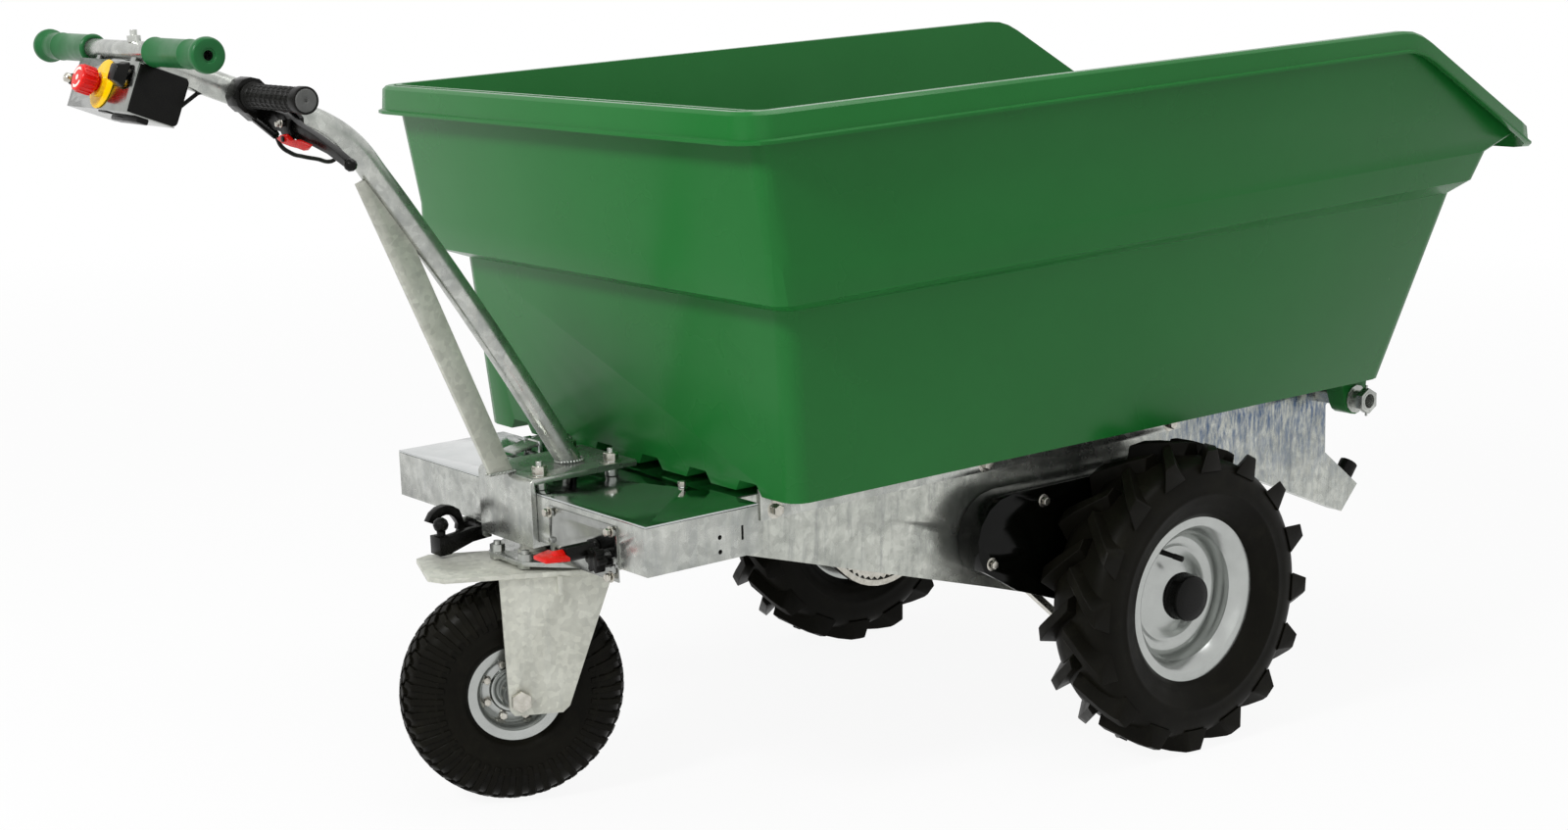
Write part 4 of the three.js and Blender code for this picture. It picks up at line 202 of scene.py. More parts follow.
def edit(piece: Object, *steps: Callable[[], object]) -> Object:
    """Runs edit mode steps on the whole of a piece.

    Args:
        piece: the piece.
        steps: functions that call edit mode operators.

    Returns:
        The same piece.
    """
    take(piece)
    bpy.ops.object.mode_set(mode="EDIT")
    bpy.ops.mesh.select_mode(type="VERT")
    for step in (select_all, *steps):
        step()
    bpy.ops.object.mode_set(mode="OBJECT")
    return piece


def select_all() -> None:
    """Selects the whole mesh in edit mode."""
    bpy.ops.mesh.select_all(action="SELECT")


def merge() -> None:
    """Joins vertices that lie on each other."""
    bpy.ops.mesh.remove_doubles(threshold=0.01 * MM)


def face_out() -> None:
    """Turns all faces outwards."""
    bpy.ops.mesh.normals_make_consistent(inside=False)


def flatten() -> None:
    """Joins triangles that lie in one plane into larger faces."""
    bpy.ops.mesh.dissolve_limited(angle_limit=math.radians(0.6), use_dissolve_boundaries=False)


def modify(piece: Object, kind: str, **settings: object) -> Object:
    """Adds one modifier to a piece and applies it.

    Args:
        piece: the piece.
        kind: the modifier's type.
        settings: its settings by name.

    Returns:
        The same piece.
    """
    take(piece)
    modifier = piece.modifiers.new(kind.lower(), kind)
    for key, value in settings.items():
        setattr(modifier, key, value)
    bpy.ops.object.modifier_apply(modifier=modifier.name)
    return piece


def soften(piece: Object, width: float = 0.0, segments: int = 2, sharp: float = 35.0) -> Object:
    """Rounds a piece's edges and smooths its round faces.

    Args:
        piece: the piece.
        width: width of the rounding, in mm; zero leaves the edges alone.
        segments: steps in the rounding.
        sharp: edges above this angle stay sharp, in degrees.

    Returns:
        The same piece.
    """
    if width > 0:
        modify(piece, "BEVEL", width=width * MM, segments=segments, limit_method="ANGLE",
               angle_limit=math.radians(30.0), miter_outer="MITER_ARC")
    take(piece)
    bpy.ops.object.shade_smooth_by_angle(angle=math.radians(sharp))
    return piece


def settle(piece: Object, place: Matrix = HOME) -> Object:
    """Moves a finished mesh to its place and leaves the object at the origin.

    Args:
        piece: the piece.
        place: the frame that it was modelled in.

    Returns:
        The same piece.
    """
    piece.data.transform(piece.matrix_world)
    piece.matrix_world = HOME
    piece.data.transform(place)
    if place.determinant() < 0:
        edit(piece, face_out)
    return piece


def copy_of(node: str, name: str) -> Object:
    """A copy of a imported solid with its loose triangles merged.

    Args:
        node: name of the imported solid.
        name: name of the new piece.

    Returns:
        The copy, at the origin.
    """
    deselect()
    source = bpy.data.objects[node]
    piece = source.copy()
    piece.data = source.data.copy()
    piece.name = name
    piece.parent = None
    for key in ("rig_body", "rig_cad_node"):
        if key in piece:
            del piece[key]
    linked(piece).matrix_world = HOME
    piece.data.materials.clear()
    take(piece)
    if piece.data.has_custom_normals:
        bpy.ops.mesh.customdata_custom_splitnormals_clear()
    return edit(piece, merge, flatten)


def outline_loop(name: str, points: Sequence[Sequence[float]], filled: bool, closed: bool = True) -> Object:
    """A ring of vertices put on given points, from a primitive circle.

    Args:
        name: name of the piece.
        points: the points, in metres.
        filled: whether the ring has a face.
        closed: whether the last point joins the first.

    Returns:
        The new piece.
    """
    deselect()
    bpy.ops.mesh.primitive_circle_add(vertices=len(points), radius=MM, location=(0, 0, 0),
                                      fill_type="NGON" if filled else "NOTHING")
    piece = bpy.context.object
    piece.name = name
    for vertex, point in zip(piece.data.vertices, points):
        vertex.co = point
    if not closed:
        edit(piece, lambda: bpy.ops.mesh.select_mode(type="EDGE"),
             lambda: bpy.ops.mesh.select_all(action="DESELECT"))
        for edge in piece.data.edges:
            edge.select = set(edge.vertices) == {0, len(points) - 1}
        bpy.ops.object.mode_set(mode="EDIT")
        bpy.ops.mesh.delete(type="EDGE")
        bpy.ops.object.mode_set(mode="OBJECT")
    return piece


def turned(name: str, profile: Profile, place: Matrix = HOME, steps: int = 64, closed: bool = True,
           width: float = 0.0, sharp: float = 35.0) -> Object:
    """Spins an outline of (radius, offset) round the Y axis.

    Args:
        name: name of the piece.
        profile: points of the outline, in mm.
        place: frame in which it is spun.
        steps: steps round the circle.
        closed: whether the outline closes on itself; if not, its ends lie on the axis.
        width: rounding of the edges, in mm.
        sharp: edges above this angle stay sharp.

    Returns:
        The new piece, at the origin.
    """
    piece = outline_loop(name, [(r * MM, y * MM, 0.0) for r, y in profile], False, closed)
    edit(piece,
         lambda: bpy.ops.mesh.spin(steps=steps, angle=FULL_TURN, center=(0, 0, 0), axis=(0, 1, 0),
                                   use_auto_merge=True),
         select_all, merge, lambda: bpy.ops.mesh.dissolve_degenerate(threshold=0.01 * MM), face_out)
    return settle(soften(piece, width, sharp=sharp), place)


def plate(name: str, outline: Profile, low: float, high: float, place: Matrix, width: float) -> Object:
    """Extrudes an (x, z) outline along Y and rounds its edges.

    Args:
        name: name of the piece.
        outline: points of the outline, in mm.
        low: where it starts along Y, in mm.
        high: where it ends.
        place: frame of the outline.
        width: rounding of the edges, in mm.

    Returns:
        The new piece, at the origin.
    """
    piece = outline_loop(name, [(x * MM, low * MM, z * MM) for x, z in outline], True)
    edit(piece, lambda: bpy.ops.mesh.extrude_region_move(
        TRANSFORM_OT_translate={"value": (0, (high - low) * MM, 0)}), select_all, face_out)
    return settle(soften(piece, width), place)


def cube(name: str, size: float) -> Object:
    """A cube at the origin, to be shaped.

    Args:
        name: name of the piece.
        size: length of an edge, in metres.

    Returns:
        The cube.
    """
    deselect()
    bpy.ops.mesh.primitive_cube_add(size=size, location=(0, 0, 0))
    bpy.context.object.name = name
    return bpy.context.object


def shape(piece: Object, move: Callable[[Vector], Vector]) -> Object:
    """Moves each vertex of a piece.

    Args:
        piece: the piece.
        move: gives a vertex's new place, in mm, from its old one, in metres.

    Returns:
        The same piece.
    """
    for vertex in piece.data.vertices:
        vertex.co = move(vertex.co) * MM
    return piece


def block(name: str, low: Point, high: Point, place: Matrix, width: float) -> Object:
    """A box with rounded edges.

    Args:
        name: name of the piece.
        low: its lowest corner, in mm.
        high: its highest corner, in mm.
        place: frame of the corners.
        width: rounding of the edges, in mm.

    Returns:
        The new piece, at the origin.
    """
    middle = (Vector(low) + Vector(high)) / 2
    size = Vector(high) - Vector(low)
    piece = shape(cube(name, 1.0), lambda co: Vector([a * b for a, b in zip(co, size)]) + middle)
    return settle(soften(piece, width), place)


def tube(name: str, points: Sequence[Point], radius: float, place: Matrix, sides: int, smooth: int) -> Object:
    """A round tube along a smooth curve through points.

    Args:
        name: name of the piece.
        points: points on its middle line, in mm.
        radius: its radius, in mm.
        place: frame of the points.
        sides: facets round the tube, about.
        smooth: steps between two points.

    Returns:
        The tube as a mesh.
    """
    curve = bpy.data.curves.new(name, "CURVE")
    curve.dimensions = "3D"
    curve.bevel_depth = radius * MM
    curve.bevel_resolution = sides // 4
    curve.resolution_u = smooth
    curve.use_fill_caps = True
    spline = curve.splines.new("BEZIER")
    spline.bezier_points.add(len(points) - 1)
    for knot, point in zip(spline.bezier_points, points):
        knot.co = Vector(point) * MM
        knot.handle_left_type = knot.handle_right_type = "AUTO"
    take(linked(bpy.data.objects.new(name, curve)))
    bpy.ops.object.convert(target="MESH")
    return settle(soften(edit(bpy.context.object, merge, face_out)), place)


def joined(name: str, pieces: Iterable[Object]) -> Object:
    """Joins pieces into one.

    Args:
        name: name of the whole.
        pieces: the pieces, which are used up.

    Returns:
        One piece.
    """
    members = list(pieces)
    deselect()
    for piece in members:
        piece.select_set(True)
    bpy.context.view_layer.objects.active = members[0]
    if len(members) > 1:
        bpy.ops.object.join()
    bpy.context.object.name = name
    return bpy.context.object


def copies(piece: Object, places: Iterable[Matrix], name: str) -> Object:
    """Copies a piece to several places, each copy with its own mesh, and joins them.

    Args:
        piece: the pattern, modelled at the origin; it is used up.
        places: where the copies go.
        name: name of the joined piece.

    Returns:
        One piece.
    """
    made = []
    for place in places:
        twin = piece.copy()
        twin.data = piece.data.copy()
        linked(twin).data.transform(place)
        if place.determinant() < 0:
            edit(twin, face_out)
        made.append(twin)
    bpy.data.objects.remove(piece)
    return joined(name, made)


def facing(point: Point, normal: Point, place: Matrix = HOME) -> Matrix:
    """Frame at a point in mm, with Z along a normal, inside another frame."""
    turn = Vector(normal).to_track_quat("Z", "Y").to_matrix().to_4x4()
    return place @ shift(*point) @ turn


def hex_bolt(across: float, height: float, washer: float, stud: float = 0.0) -> Object:
    """A hexagon bolt head on Z, with a chamfered crown and a washer, and a stud end under them.

    Args:
        across: size across the flats, in mm.
        height: height of the head, in mm.
        washer: radius of the washer, in mm.
        stud: how far its shank reaches through, in mm.

    Returns:
        The bolt as one piece at the origin.
    """
    thin, crown_inset, crown_lift = 1.6, 0.07, 0.05
    deselect()
    bpy.ops.mesh.primitive_cylinder_add(vertices=6, radius=across / math.sqrt(3) * MM, depth=height * MM,
                                        location=(0, 0, (thin + height / 2) * MM))
    head = settle(bpy.context.object)
    edit(head, lambda: bpy.ops.mesh.select_mode(type="FACE"),
         lambda: bpy.ops.mesh.select_all(action="DESELECT"))
    for face in head.data.polygons:
        face.select = face.normal.z > 0.9
    bpy.ops.object.mode_set(mode="EDIT")
    bpy.ops.mesh.inset(thickness=across * crown_inset * MM)
    bpy.ops.transform.translate(value=(0, 0, across * crown_lift * MM))
    bpy.ops.object.mode_set(mode="OBJECT")
    swing = Matrix.Rotation(math.pi / 2, 4, "X")
    parts = [soften(head, 0.4),
             turned("washer", [(0, 0), (washer, 0), (washer, -thin), (0, -thin)], swing, 24, False, 0.3)]
    if stud:
        shank, end = across * 0.3, -(thin + height + stud)
        parts.append(turned("stud", [(0, 0), (shank, 0), (shank, end + 1), (shank * 0.8, end), (0, end)],
                            swing, 16, False))
    return joined("bolt", parts)


def weld(start: Point, end: Point, radius: float, place: Matrix) -> Object:
    """A rippled weld bead between two points.

    Args:
        start: where it starts, in mm.
        end: where it ends, in mm.
        radius: half the bead's width, in mm.
        place: frame of the points.

    Returns:
        The bead as one piece.
    """
    ripple_pitch, ripple_turn, ripple_sway = 0.9, 2.3, 0.12
    line = Vector(end) - Vector(start)
    count = max(3, int(line.length / (radius * ripple_pitch)))
    bead = turned("ripple", [(0, -radius), (radius * 0.75, -radius * 0.6), (radius, 0),
                             (radius * 0.75, radius * 0.6), (0, radius)], HOME, 10, False, sharp=80)
    places = []
    for index in range(count + 1):
        sway = math.sin(index * ripple_turn) * radius * ripple_sway
        spot = Vector(start).lerp(Vector(end), index / count) + Vector((sway, sway / 2, 0))
        places.append(place @ shift(*spot))
    return copies(bead, places, "weld")


# Finishes


def linear(code: str) -> tuple[float, float, float, float]:
    """Turns an sRGB hex code into a linear colour.

    Args:
        code: the colour as #rrggbb.

    Returns:
        The linear colour with a full alpha.
    """
    def channel(value: int) -> float:
        """Turns one channel, from 0 to 255, to linear."""
        share = value / 255
        return share / 12.92 if share <= 0.04045 else ((share + 0.055) / 1.055) ** 2.4

    return tuple(channel(int(code[i:i + 2], 16)) for i in (1, 3, 5)) + (1.0,)


def add(tree: NodeTree, kind: str, settings: dict | None = None, links: dict | None = None) -> Node:
    """Adds one shader node with its settings and links.

    Args:
        tree: the material's node tree.
        kind: the node's type, without its first word.
        settings: attributes by name, and socket values by name or number.
        links: sockets by name or number, and what feeds them.

    Returns:
        The node.
    """
    made = tree.nodes.new(f"ShaderNode{kind}")
    for key, value in (settings or {}).items():
        if isinstance(key, str) and hasattr(made, key):
            setattr(made, key, value)
        else:
            made.inputs[key].default_value = value
    for key, source in (links or {}).items():
        tree.links.new(source, made.inputs[key])
    return made


def cleared(made: Material | World) -> NodeTree:
    """Turns nodes on in a new material or world and clears them away.

    Args:
        made: the material or world.

    Returns:
        Its empty node tree.
    """
    made.use_nodes = True
    made.node_tree.nodes.clear()
    return made.node_tree


def per(size: float) -> float:
    """Texture scale whose pattern repeats about every size, in mm."""
    return 1.0 / (size * MM)


@dataclass(frozen=True)
class Finish:
    """Common part of every finish: a body colour that drifts, fine relief and a drift in gloss.

    Args:
        name: name of the finish, and of the record's slot unless another one is given.
        colour: main colour, sRGB hex.
        second: colour that it drifts to, sRGB hex.
        drift: size of the drift, in mm.
        metal: how metallic it is.
        rough: mean roughness.
        rough_swing: how far the roughness drifts.
        grain: size of the relief, in mm.
        relief: height of the relief, in mm.
        coat: weight of a clear coat.
        shine: the shader's specular level; metals keep the shader's own.
        slot: the record's slot, where its name isn't the finish's; not used.
    """

    name: str
    colour: str
    second: str
    drift: float
    metal: float
    rough: float
    rough_swing: float
    grain: float
    relief: float
    coat: float = 0.0
    shine: float = field(default=0.5, kw_only=True)
    slot: str = field(default="", kw_only=True)

    def colours(self, tree: NodeTree, where: NodeSocket) -> NodeSocket:
        """Body colour: two shades that drift into each other."""
        cloud = add(tree, "TexNoise", {"Scale": per(self.drift), "Detail": 5.0, "Roughness": 0.6},
                    {"Vector": where})
        span = add(tree, "MapRange", {"From Min": 0.35, "From Max": 0.65}, {"Value": cloud.outputs["Fac"]})
        mix = add(tree, "Mix", {"data_type": "RGBA"}, {0: span.outputs["Result"]})
        mix.inputs[6].default_value = linear(self.colour)
        mix.inputs[7].default_value = linear(self.second)
        return mix.outputs[2]

    def gloss(self, tree: NodeTree, where: NodeSocket) -> NodeSocket:
        """Roughness that drifts over a hand's breadth."""
        cloud = add(tree, "TexNoise", {"Scale": per(self.drift * 0.5), "Detail": 4.0}, {"Vector": where})
        span = add(tree, "MapRange", {"From Min": 0.3, "From Max": 0.7,
                                                "To Min": self.rough - self.rough_swing,
                                                "To Max": self.rough + self.rough_swing},
                   {"Value": cloud.outputs["Fac"]})
        return span.outputs["Result"]

    def heights(self, tree: NodeTree, where: NodeSocket) -> NodeSocket:
        """Relief of the surface, from 0 to 1."""
        fine = add(tree, "TexNoise", {"Scale": per(self.grain), "Detail": 3.0}, {"Vector": where})
        return fine.outputs["Fac"]

    def make(self) -> Material:
        """Builds the material."""
        title = f"{self.name}_finish"
        made = bpy.data.materials.get(title)
        if made:
            return made
        made = bpy.data.materials.new(title)
        tree = cleared(made)
        where = add(tree, "TexCoord").outputs["Object"]
        bump = add(tree, "Bump", {"Strength": 1.0, "Distance": self.relief * MM},
                   {"Height": self.heights(tree, where)})
        shader = add(tree, "BsdfPrincipled", {"Metallic": self.metal, "Coat Weight": self.coat,
                                                        "Coat Roughness": 0.08,
                                                        "Specular IOR Level": self.shine},
                     {"Base Color": self.colours(tree, where), "Roughness": self.gloss(tree, where),
                      "Normal": bump.outputs["Normal"]})
        add(tree, "OutputMaterial", None, {"Surface": shader.outputs["BSDF"]})
        made.diffuse_color = linear(self.colour)
        return made


@dataclass(frozen=True)
class MouldedPolyethylene(Finish):
    """Rotomoulded polyethylene: satin, faintly uneven, with hair scratches along the walls."""

    scratch: str = "#4f8a58"

    def colours(self, tree: NodeTree, where: NodeSocket) -> NodeSocket:
        """Two greens, with thin pale scratches that run mostly along the tub."""
        base = Finish.colours(self, tree, where)
        lay = add(tree, "Mapping", {"Scale": (1.0, 6.0, 22.0), "Rotation": (0.0, 0.35, 0.2)},
                  {"Vector": where})
        hair = add(tree, "TexNoise", {"Scale": per(60.0), "Detail": 8.0, "Roughness": 0.75},
                   {"Vector": lay.outputs["Vector"]})
        line = add(tree, "MapRange", {"From Min": 0.69, "From Max": 0.76, "To Max": 0.28},
                   {"Value": hair.outputs["Fac"]})
        mix = add(tree, "Mix", {"data_type": "RGBA"}, {0: line.outputs["Result"], 6: base})
        mix.inputs[7].default_value = linear(self.scratch)
        return mix.outputs[2]

    def heights(self, tree: NodeTree, where: NodeSocket) -> NodeSocket:
        """Orange peel from the mould over slow waves in the wall."""
        fine = Finish.heights(self, tree, where)
        wave = add(tree, "TexNoise", {"Scale": per(140.0), "Detail": 1.0}, {"Vector": where})
        mix = add(tree, "Math", {"operation": "MULTIPLY_ADD", 1: 7.0},
                  {0: wave.outputs["Fac"], 2: fine})
        return mix.outputs["Value"]


@dataclass(frozen=True)
class HotDipGalvanised(Finish):
    """Hot dip zinc: pale grey flecks the size of a fingernail, cloudy patches and drip streaks."""

    fleck: float = 9.0
    streak: float = 0.35
    tint: str = "#7f8488"

    def colours(self, tree: NodeTree, where: NodeSocket) -> NodeSocket:
        """Cloudy zinc with crystal flecks and streaks that run down."""
        base = Finish.colours(self, tree, where)
        bend = add(tree, "TexNoise", {"Scale": per(30.0), "Detail": 2.0}, {"Vector": where})
        warp = add(tree, "Mix", {"data_type": "VECTOR", 0: 0.012}, {4: where, 5: bend.outputs["Color"]})
        cell = add(tree, "TexVoronoi", {"Scale": per(self.fleck)}, {"Vector": warp.outputs[1]})
        grey = add(tree, "RGBToBW", None, {"Color": cell.outputs["Color"]})
        flecked = add(tree, "MapRange", {"To Min": 0.84, "To Max": 1.12}, {"Value": grey.outputs["Val"]})
        lay = add(tree, "Mapping", {"Scale": (1.0, 1.0, 0.12), "Rotation": (0.1, 0.25, 0.0)},
                  {"Vector": where})
        run = add(tree, "TexNoise", {"Scale": per(14.0), "Detail": 6.0, "Roughness": 0.7},
                  {"Vector": lay.outputs["Vector"]})
        streak = add(tree, "MapRange", {"From Min": 0.5, "From Max": 0.72, "To Max": self.streak},
                     {"Value": run.outputs["Fac"]})
        mix = add(tree, "Mix", {"data_type": "RGBA"}, {0: streak.outputs["Result"], 6: base})
        mix.inputs[7].default_value = linear(self.tint)
        scaled = add(tree, "VectorMath", {"operation": "SCALE"},
                     {0: mix.outputs[2], "Scale": flecked.outputs["Result"]})
        return scaled.outputs["Vector"]


@dataclass(frozen=True)
class RunZinc(HotDipGalvanised):
    """Zinc that turns bluish in patches towards the front end and the top of the plates."""

    # Bluish tint, mixed in towards the front end and the top.
    blue_tint: str = "#2f5078"

    def colours(self, tree: NodeTree, where: NodeSocket) -> NodeSocket:
        """Cloudy zinc that turns bluish in patches along the machine."""
        base = HotDipGalvanised.colours(self, tree, where)
        along = add(tree, "SeparateXYZ", None, {"Vector": where})
        front = add(tree, "MapRange", {"From Min": 0.38, "From Max": 0.52, "To Max": 0.95},
                    {"Value": along.outputs["X"]})
        upper = add(tree, "MapRange", {"From Min": 0.29, "From Max": 0.42, "To Min": 0.12, "To Max": 1.0},
                    {"Value": along.outputs["Z"]})
        lay = add(tree, "Mapping", {"Scale": (1.0, 1.0, 0.24), "Rotation": (0.0, 0.2, 0.0)},
                  {"Vector": where})
        cloud = add(tree, "TexNoise", {"Scale": per(6.0), "Detail": 7.0, "Roughness": 0.72},
                    {"Vector": lay.outputs["Vector"]})
        patch = add(tree, "MapRange", {"From Min": 0.4, "From Max": 0.62}, {"Value": cloud.outputs["Fac"]})
        end = add(tree, "Math", {"operation": "MULTIPLY"},
                  {0: front.outputs["Result"], 1: upper.outputs["Result"]})
        share = add(tree, "Math", {"operation": "MULTIPLY"},
                    {0: end.outputs["Value"], 1: patch.outputs["Result"]})
        mix = add(tree, "Mix", {"data_type": "RGBA"}, {0: share.outputs["Value"], 6: base})
        mix.inputs[7].default_value = linear(self.blue_tint)
        return mix.outputs[2]


@dataclass(frozen=True)
class BrightSheet(Finish):
    """Bright rolled stainless: nearly a mirror, with fine lines from the rolls."""

    def heights(self, tree: NodeTree, where: NodeSocket) -> NodeSocket:
        """Rolling lines along X, a little stretched so that they show."""
        lay = add(tree, "Mapping", {"Scale": (0.05, 1.0, 1.0)}, {"Vector": where})
        lines = add(tree, "TexNoise", {"Scale": per(self.grain), "Detail": 3.0},
                    {"Vector": lay.outputs["Vector"]})
        return lines.outputs["Fac"]


@dataclass(frozen=True)
class TyreRubber(Finish):
    """Vulcanised tyre rubber: near black, matt, with random pale patches, partly dust and partly painted
    highlight.
    """

    # Pale brown of lug tops in the key light: partly dust, partly painted highlight.
    dust_and_highlight: str = "#2a291f"

    def colours(self, tree: NodeTree, where: NodeSocket) -> NodeSocket:
        """Black rubber with thin pale brown patches: partly dust, partly a painted highlight in the colour of
        lit lug tops.
        """
        base = Finish.colours(self, tree, where)
        cloud = add(tree, "TexNoise", {"Scale": per(38.0), "Detail": 8.0, "Roughness": 0.7},
                    {"Vector": where})
        patch = add(tree, "MapRange", {"From Min": 0.52, "From Max": 0.75, "To Max": 0.3},
                    {"Value": cloud.outputs["Fac"]})
        mix = add(tree, "Mix", {"data_type": "RGBA"}, {0: patch.outputs["Result"], 6: base})
        mix.inputs[7].default_value = linear(self.dust_and_highlight)
        return mix.outputs[2]


# Polyethylene tub: satin green, soft broad highlights
TUB_GREEN = MouldedPolyethylene("green_tub", "#1c702e", "#196a2a", 420.0, 0.0, 0.25, 0.05, 2.2, 0.02,
                                shine=0.2)
# Soft green handles: a little darker and more matt than the tub
GRIP_GREEN = Finish("green_grip", "#1f6434", "#1b5b2e", 30.0, 0.0, 0.34, 0.06, 0.9, 0.04, shine=0.2)
# Hot dip zinc on frame parts: cloudy grey with flecks, some drip streaks
ZINC = HotDipGalvanised("galvanised", "#c2c4be", "#a4a7a2", 45.0, 0.85, 0.27, 0.1, 2.5, 0.02)
# The same zinc freshly dipped on the caster fork and the brace: paler and duller
ZINC_PALE = HotDipGalvanised("galvanised_pale", "#cfd0c5", "#bfc0b5", 40.0, 0.35, 0.46, 0.06, 1.4, 0.05, 0.0,
                             7.0, 0.16, slot="galvanised")
# Zinc on the side plates: long pale runs, bluish towards the front end
ZINC_RUNS = RunZinc("galvanised_runs", "#c9cbc3", "#aaada6", 45.0, 0.8, 0.24, 0.08, 2.5, 0.02, 0.0, 8.0, 0.55,
                    "#6e7274", slot="galvanised")
# Bright stainless sheet: mirrors the tub above it
STAINLESS = BrightSheet("stainless", "#c3c6c5", "#b7bbba", 70.0, 1.0, 0.14, 0.05, 0.7, 0.006)
# Darker, finely brushed stainless of the control box and the switch panel
BRUSHED = BrightSheet("stainless_brushed", "#a3a5a1", "#8f918e", 40.0, 1.0, 0.2, 0.05, 0.7, 0.006,
                      slot="stainless")
# Zinc plated fasteners and machined steel: bright with a faint warm cast
PLATED = Finish("plated_steel", "#cbc8bf", "#b3b0a6", 8.0, 1.0, 0.3, 0.08, 0.8, 0.02)
# Silver enamel on pressed wheels: even, fine metallic flake
SILVER = Finish("silver_paint", "#b4b7b4", "#aaadaa", 60.0, 0.92, 0.24, 0.03, 0.4, 0.004, 0.15)
# Moulded black plastic: satin with a fine spark texture
BLACK = Finish("black_plastic", "#0e0e0c", "#0a0a09", 20.0, 0.0, 0.26, 0.06, 0.7, 0.02, shine=0.13)
# Glossy black sheet of the chain guards: mirrors the tub on its bends
GUARD = Finish("black_guard", "#060705", "#050604", 30.0, 0.0, 0.12, 0.03, 0.7, 0.004, shine=0.14,
               slot="black_plastic")
# Black rubber sleeves, buffers and cable jackets: matt
RUBBER = Finish("black_rubber", "#141412", "#0f0f0d", 12.0, 0.0, 0.46, 0.08, 0.9, 0.05, shine=0.14)
# Tyre rubber: near black, with hardly any gloss
TYRE = TyreRubber("tyre", "#14130e", "#0f0e0a", 50.0, 0.0, 0.4, 0.06, 1.6, 0.05, shine=0.06)
# Red moulded plastic: glossy
RED = Finish("red_plastic", "#e2150d", "#d0120b", 12.0, 0.0, 0.26, 0.05, 0.8, 0.01, shine=0.25)
# White paint of the arrows on the red stop head
WHITE = Finish("white_paint", "#ece9e2", "#e2ded6", 12.0, 0.0, 0.4, 0.05, 0.8, 0.01, slot="red_plastic")
# Yellow moulded plastic: glossy
YELLOW = Finish("yellow_plastic", "#f6c800", "#ecbc00", 14.0, 0.0, 0.3, 0.05, 0.8, 0.01, shine=0.25)
# Dark machine enamel on the geared motor
ENAMEL = Finish("motor_paint", "#34373a", "#2b2e31", 60.0, 0.2, 0.42, 0.08, 1.2, 0.04, 0.3)
# Grey hard plastic end disc of the brake's rubber sleeve
GREY = Finish("grey_plastic", "#555654", "#4a4b49", 10.0, 0.0, 0.42, 0.05, 0.8, 0.02, slot="black_rubber")


def dress(piece: Object, finish: Finish, *nodes: str, body: str = "chassis", name: str = "",
          slot: str = "") -> Object:
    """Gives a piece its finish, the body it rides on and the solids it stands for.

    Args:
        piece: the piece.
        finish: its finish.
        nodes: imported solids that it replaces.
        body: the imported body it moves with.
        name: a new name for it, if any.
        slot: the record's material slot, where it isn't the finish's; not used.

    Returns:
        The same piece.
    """
    piece.data.materials.clear()
    piece.data.materials.append(finish.make())
    piece.name = name or piece.name
    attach(piece, body)
    if nodes:
        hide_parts(*nodes)
    LOG.info("%s: %d faces on %s", piece.name, len(piece.data.polygons), body)
    return piece


def repaint(finish: Finish, *nodes: str) -> None:
    """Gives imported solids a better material."""
    for node in nodes:
        materials = bpy.data.objects[node].data.materials
        materials.clear()
        materials.append(finish.make())


def refine(node: str, finish: Finish, width: float, segments: int = 2, sharp: float = 35.0, *,
           body: str = "chassis", slot: str = "") -> None:
    """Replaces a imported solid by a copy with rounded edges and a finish.

    Args:
        node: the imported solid.
        finish: its finish.
        width: rounding of the edges, in mm.
        segments: steps in the rounding.
        sharp: edges above this angle stay sharp, in degrees.
        body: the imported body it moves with.
        slot: the record's material slot, where it isn't the finish's.
    """
    piece = soften(copy_of(node, f"{node}_finished"), width, segments, sharp)
    dress(piece, finish, node, body=body, slot=slot)


# Sub-assemblies


@dataclass
class Tub:
    """The moulded tub, one shell with a rolled rim."""

    edge: float = 3.5
    edge_steps: int = 3
    sharp: float = 40.0

    def build(self) -> None:
        """Dresses the tub as one smooth moulding."""
        refine("tub", TUB_GREEN, self.edge, self.edge_steps, self.sharp, body="tub")


def carcass(outer: Profile, inner: Profile) -> Object:
    """A tyre's body, closed over both halves.

    Args:
        outer: half the outside, as (radius, offset) from the bead to the middle.
        inner: half the inside, the same way.

    Returns:
        The body, round Y.
    """
    right = outer + [(r, -y) for r, y in reversed(outer[:-1])]
    back = [(r, -y) for r, y in inner] + list(reversed(inner[:-1]))
    return turned("carcass", right + back, steps=96, sharp=50.0)


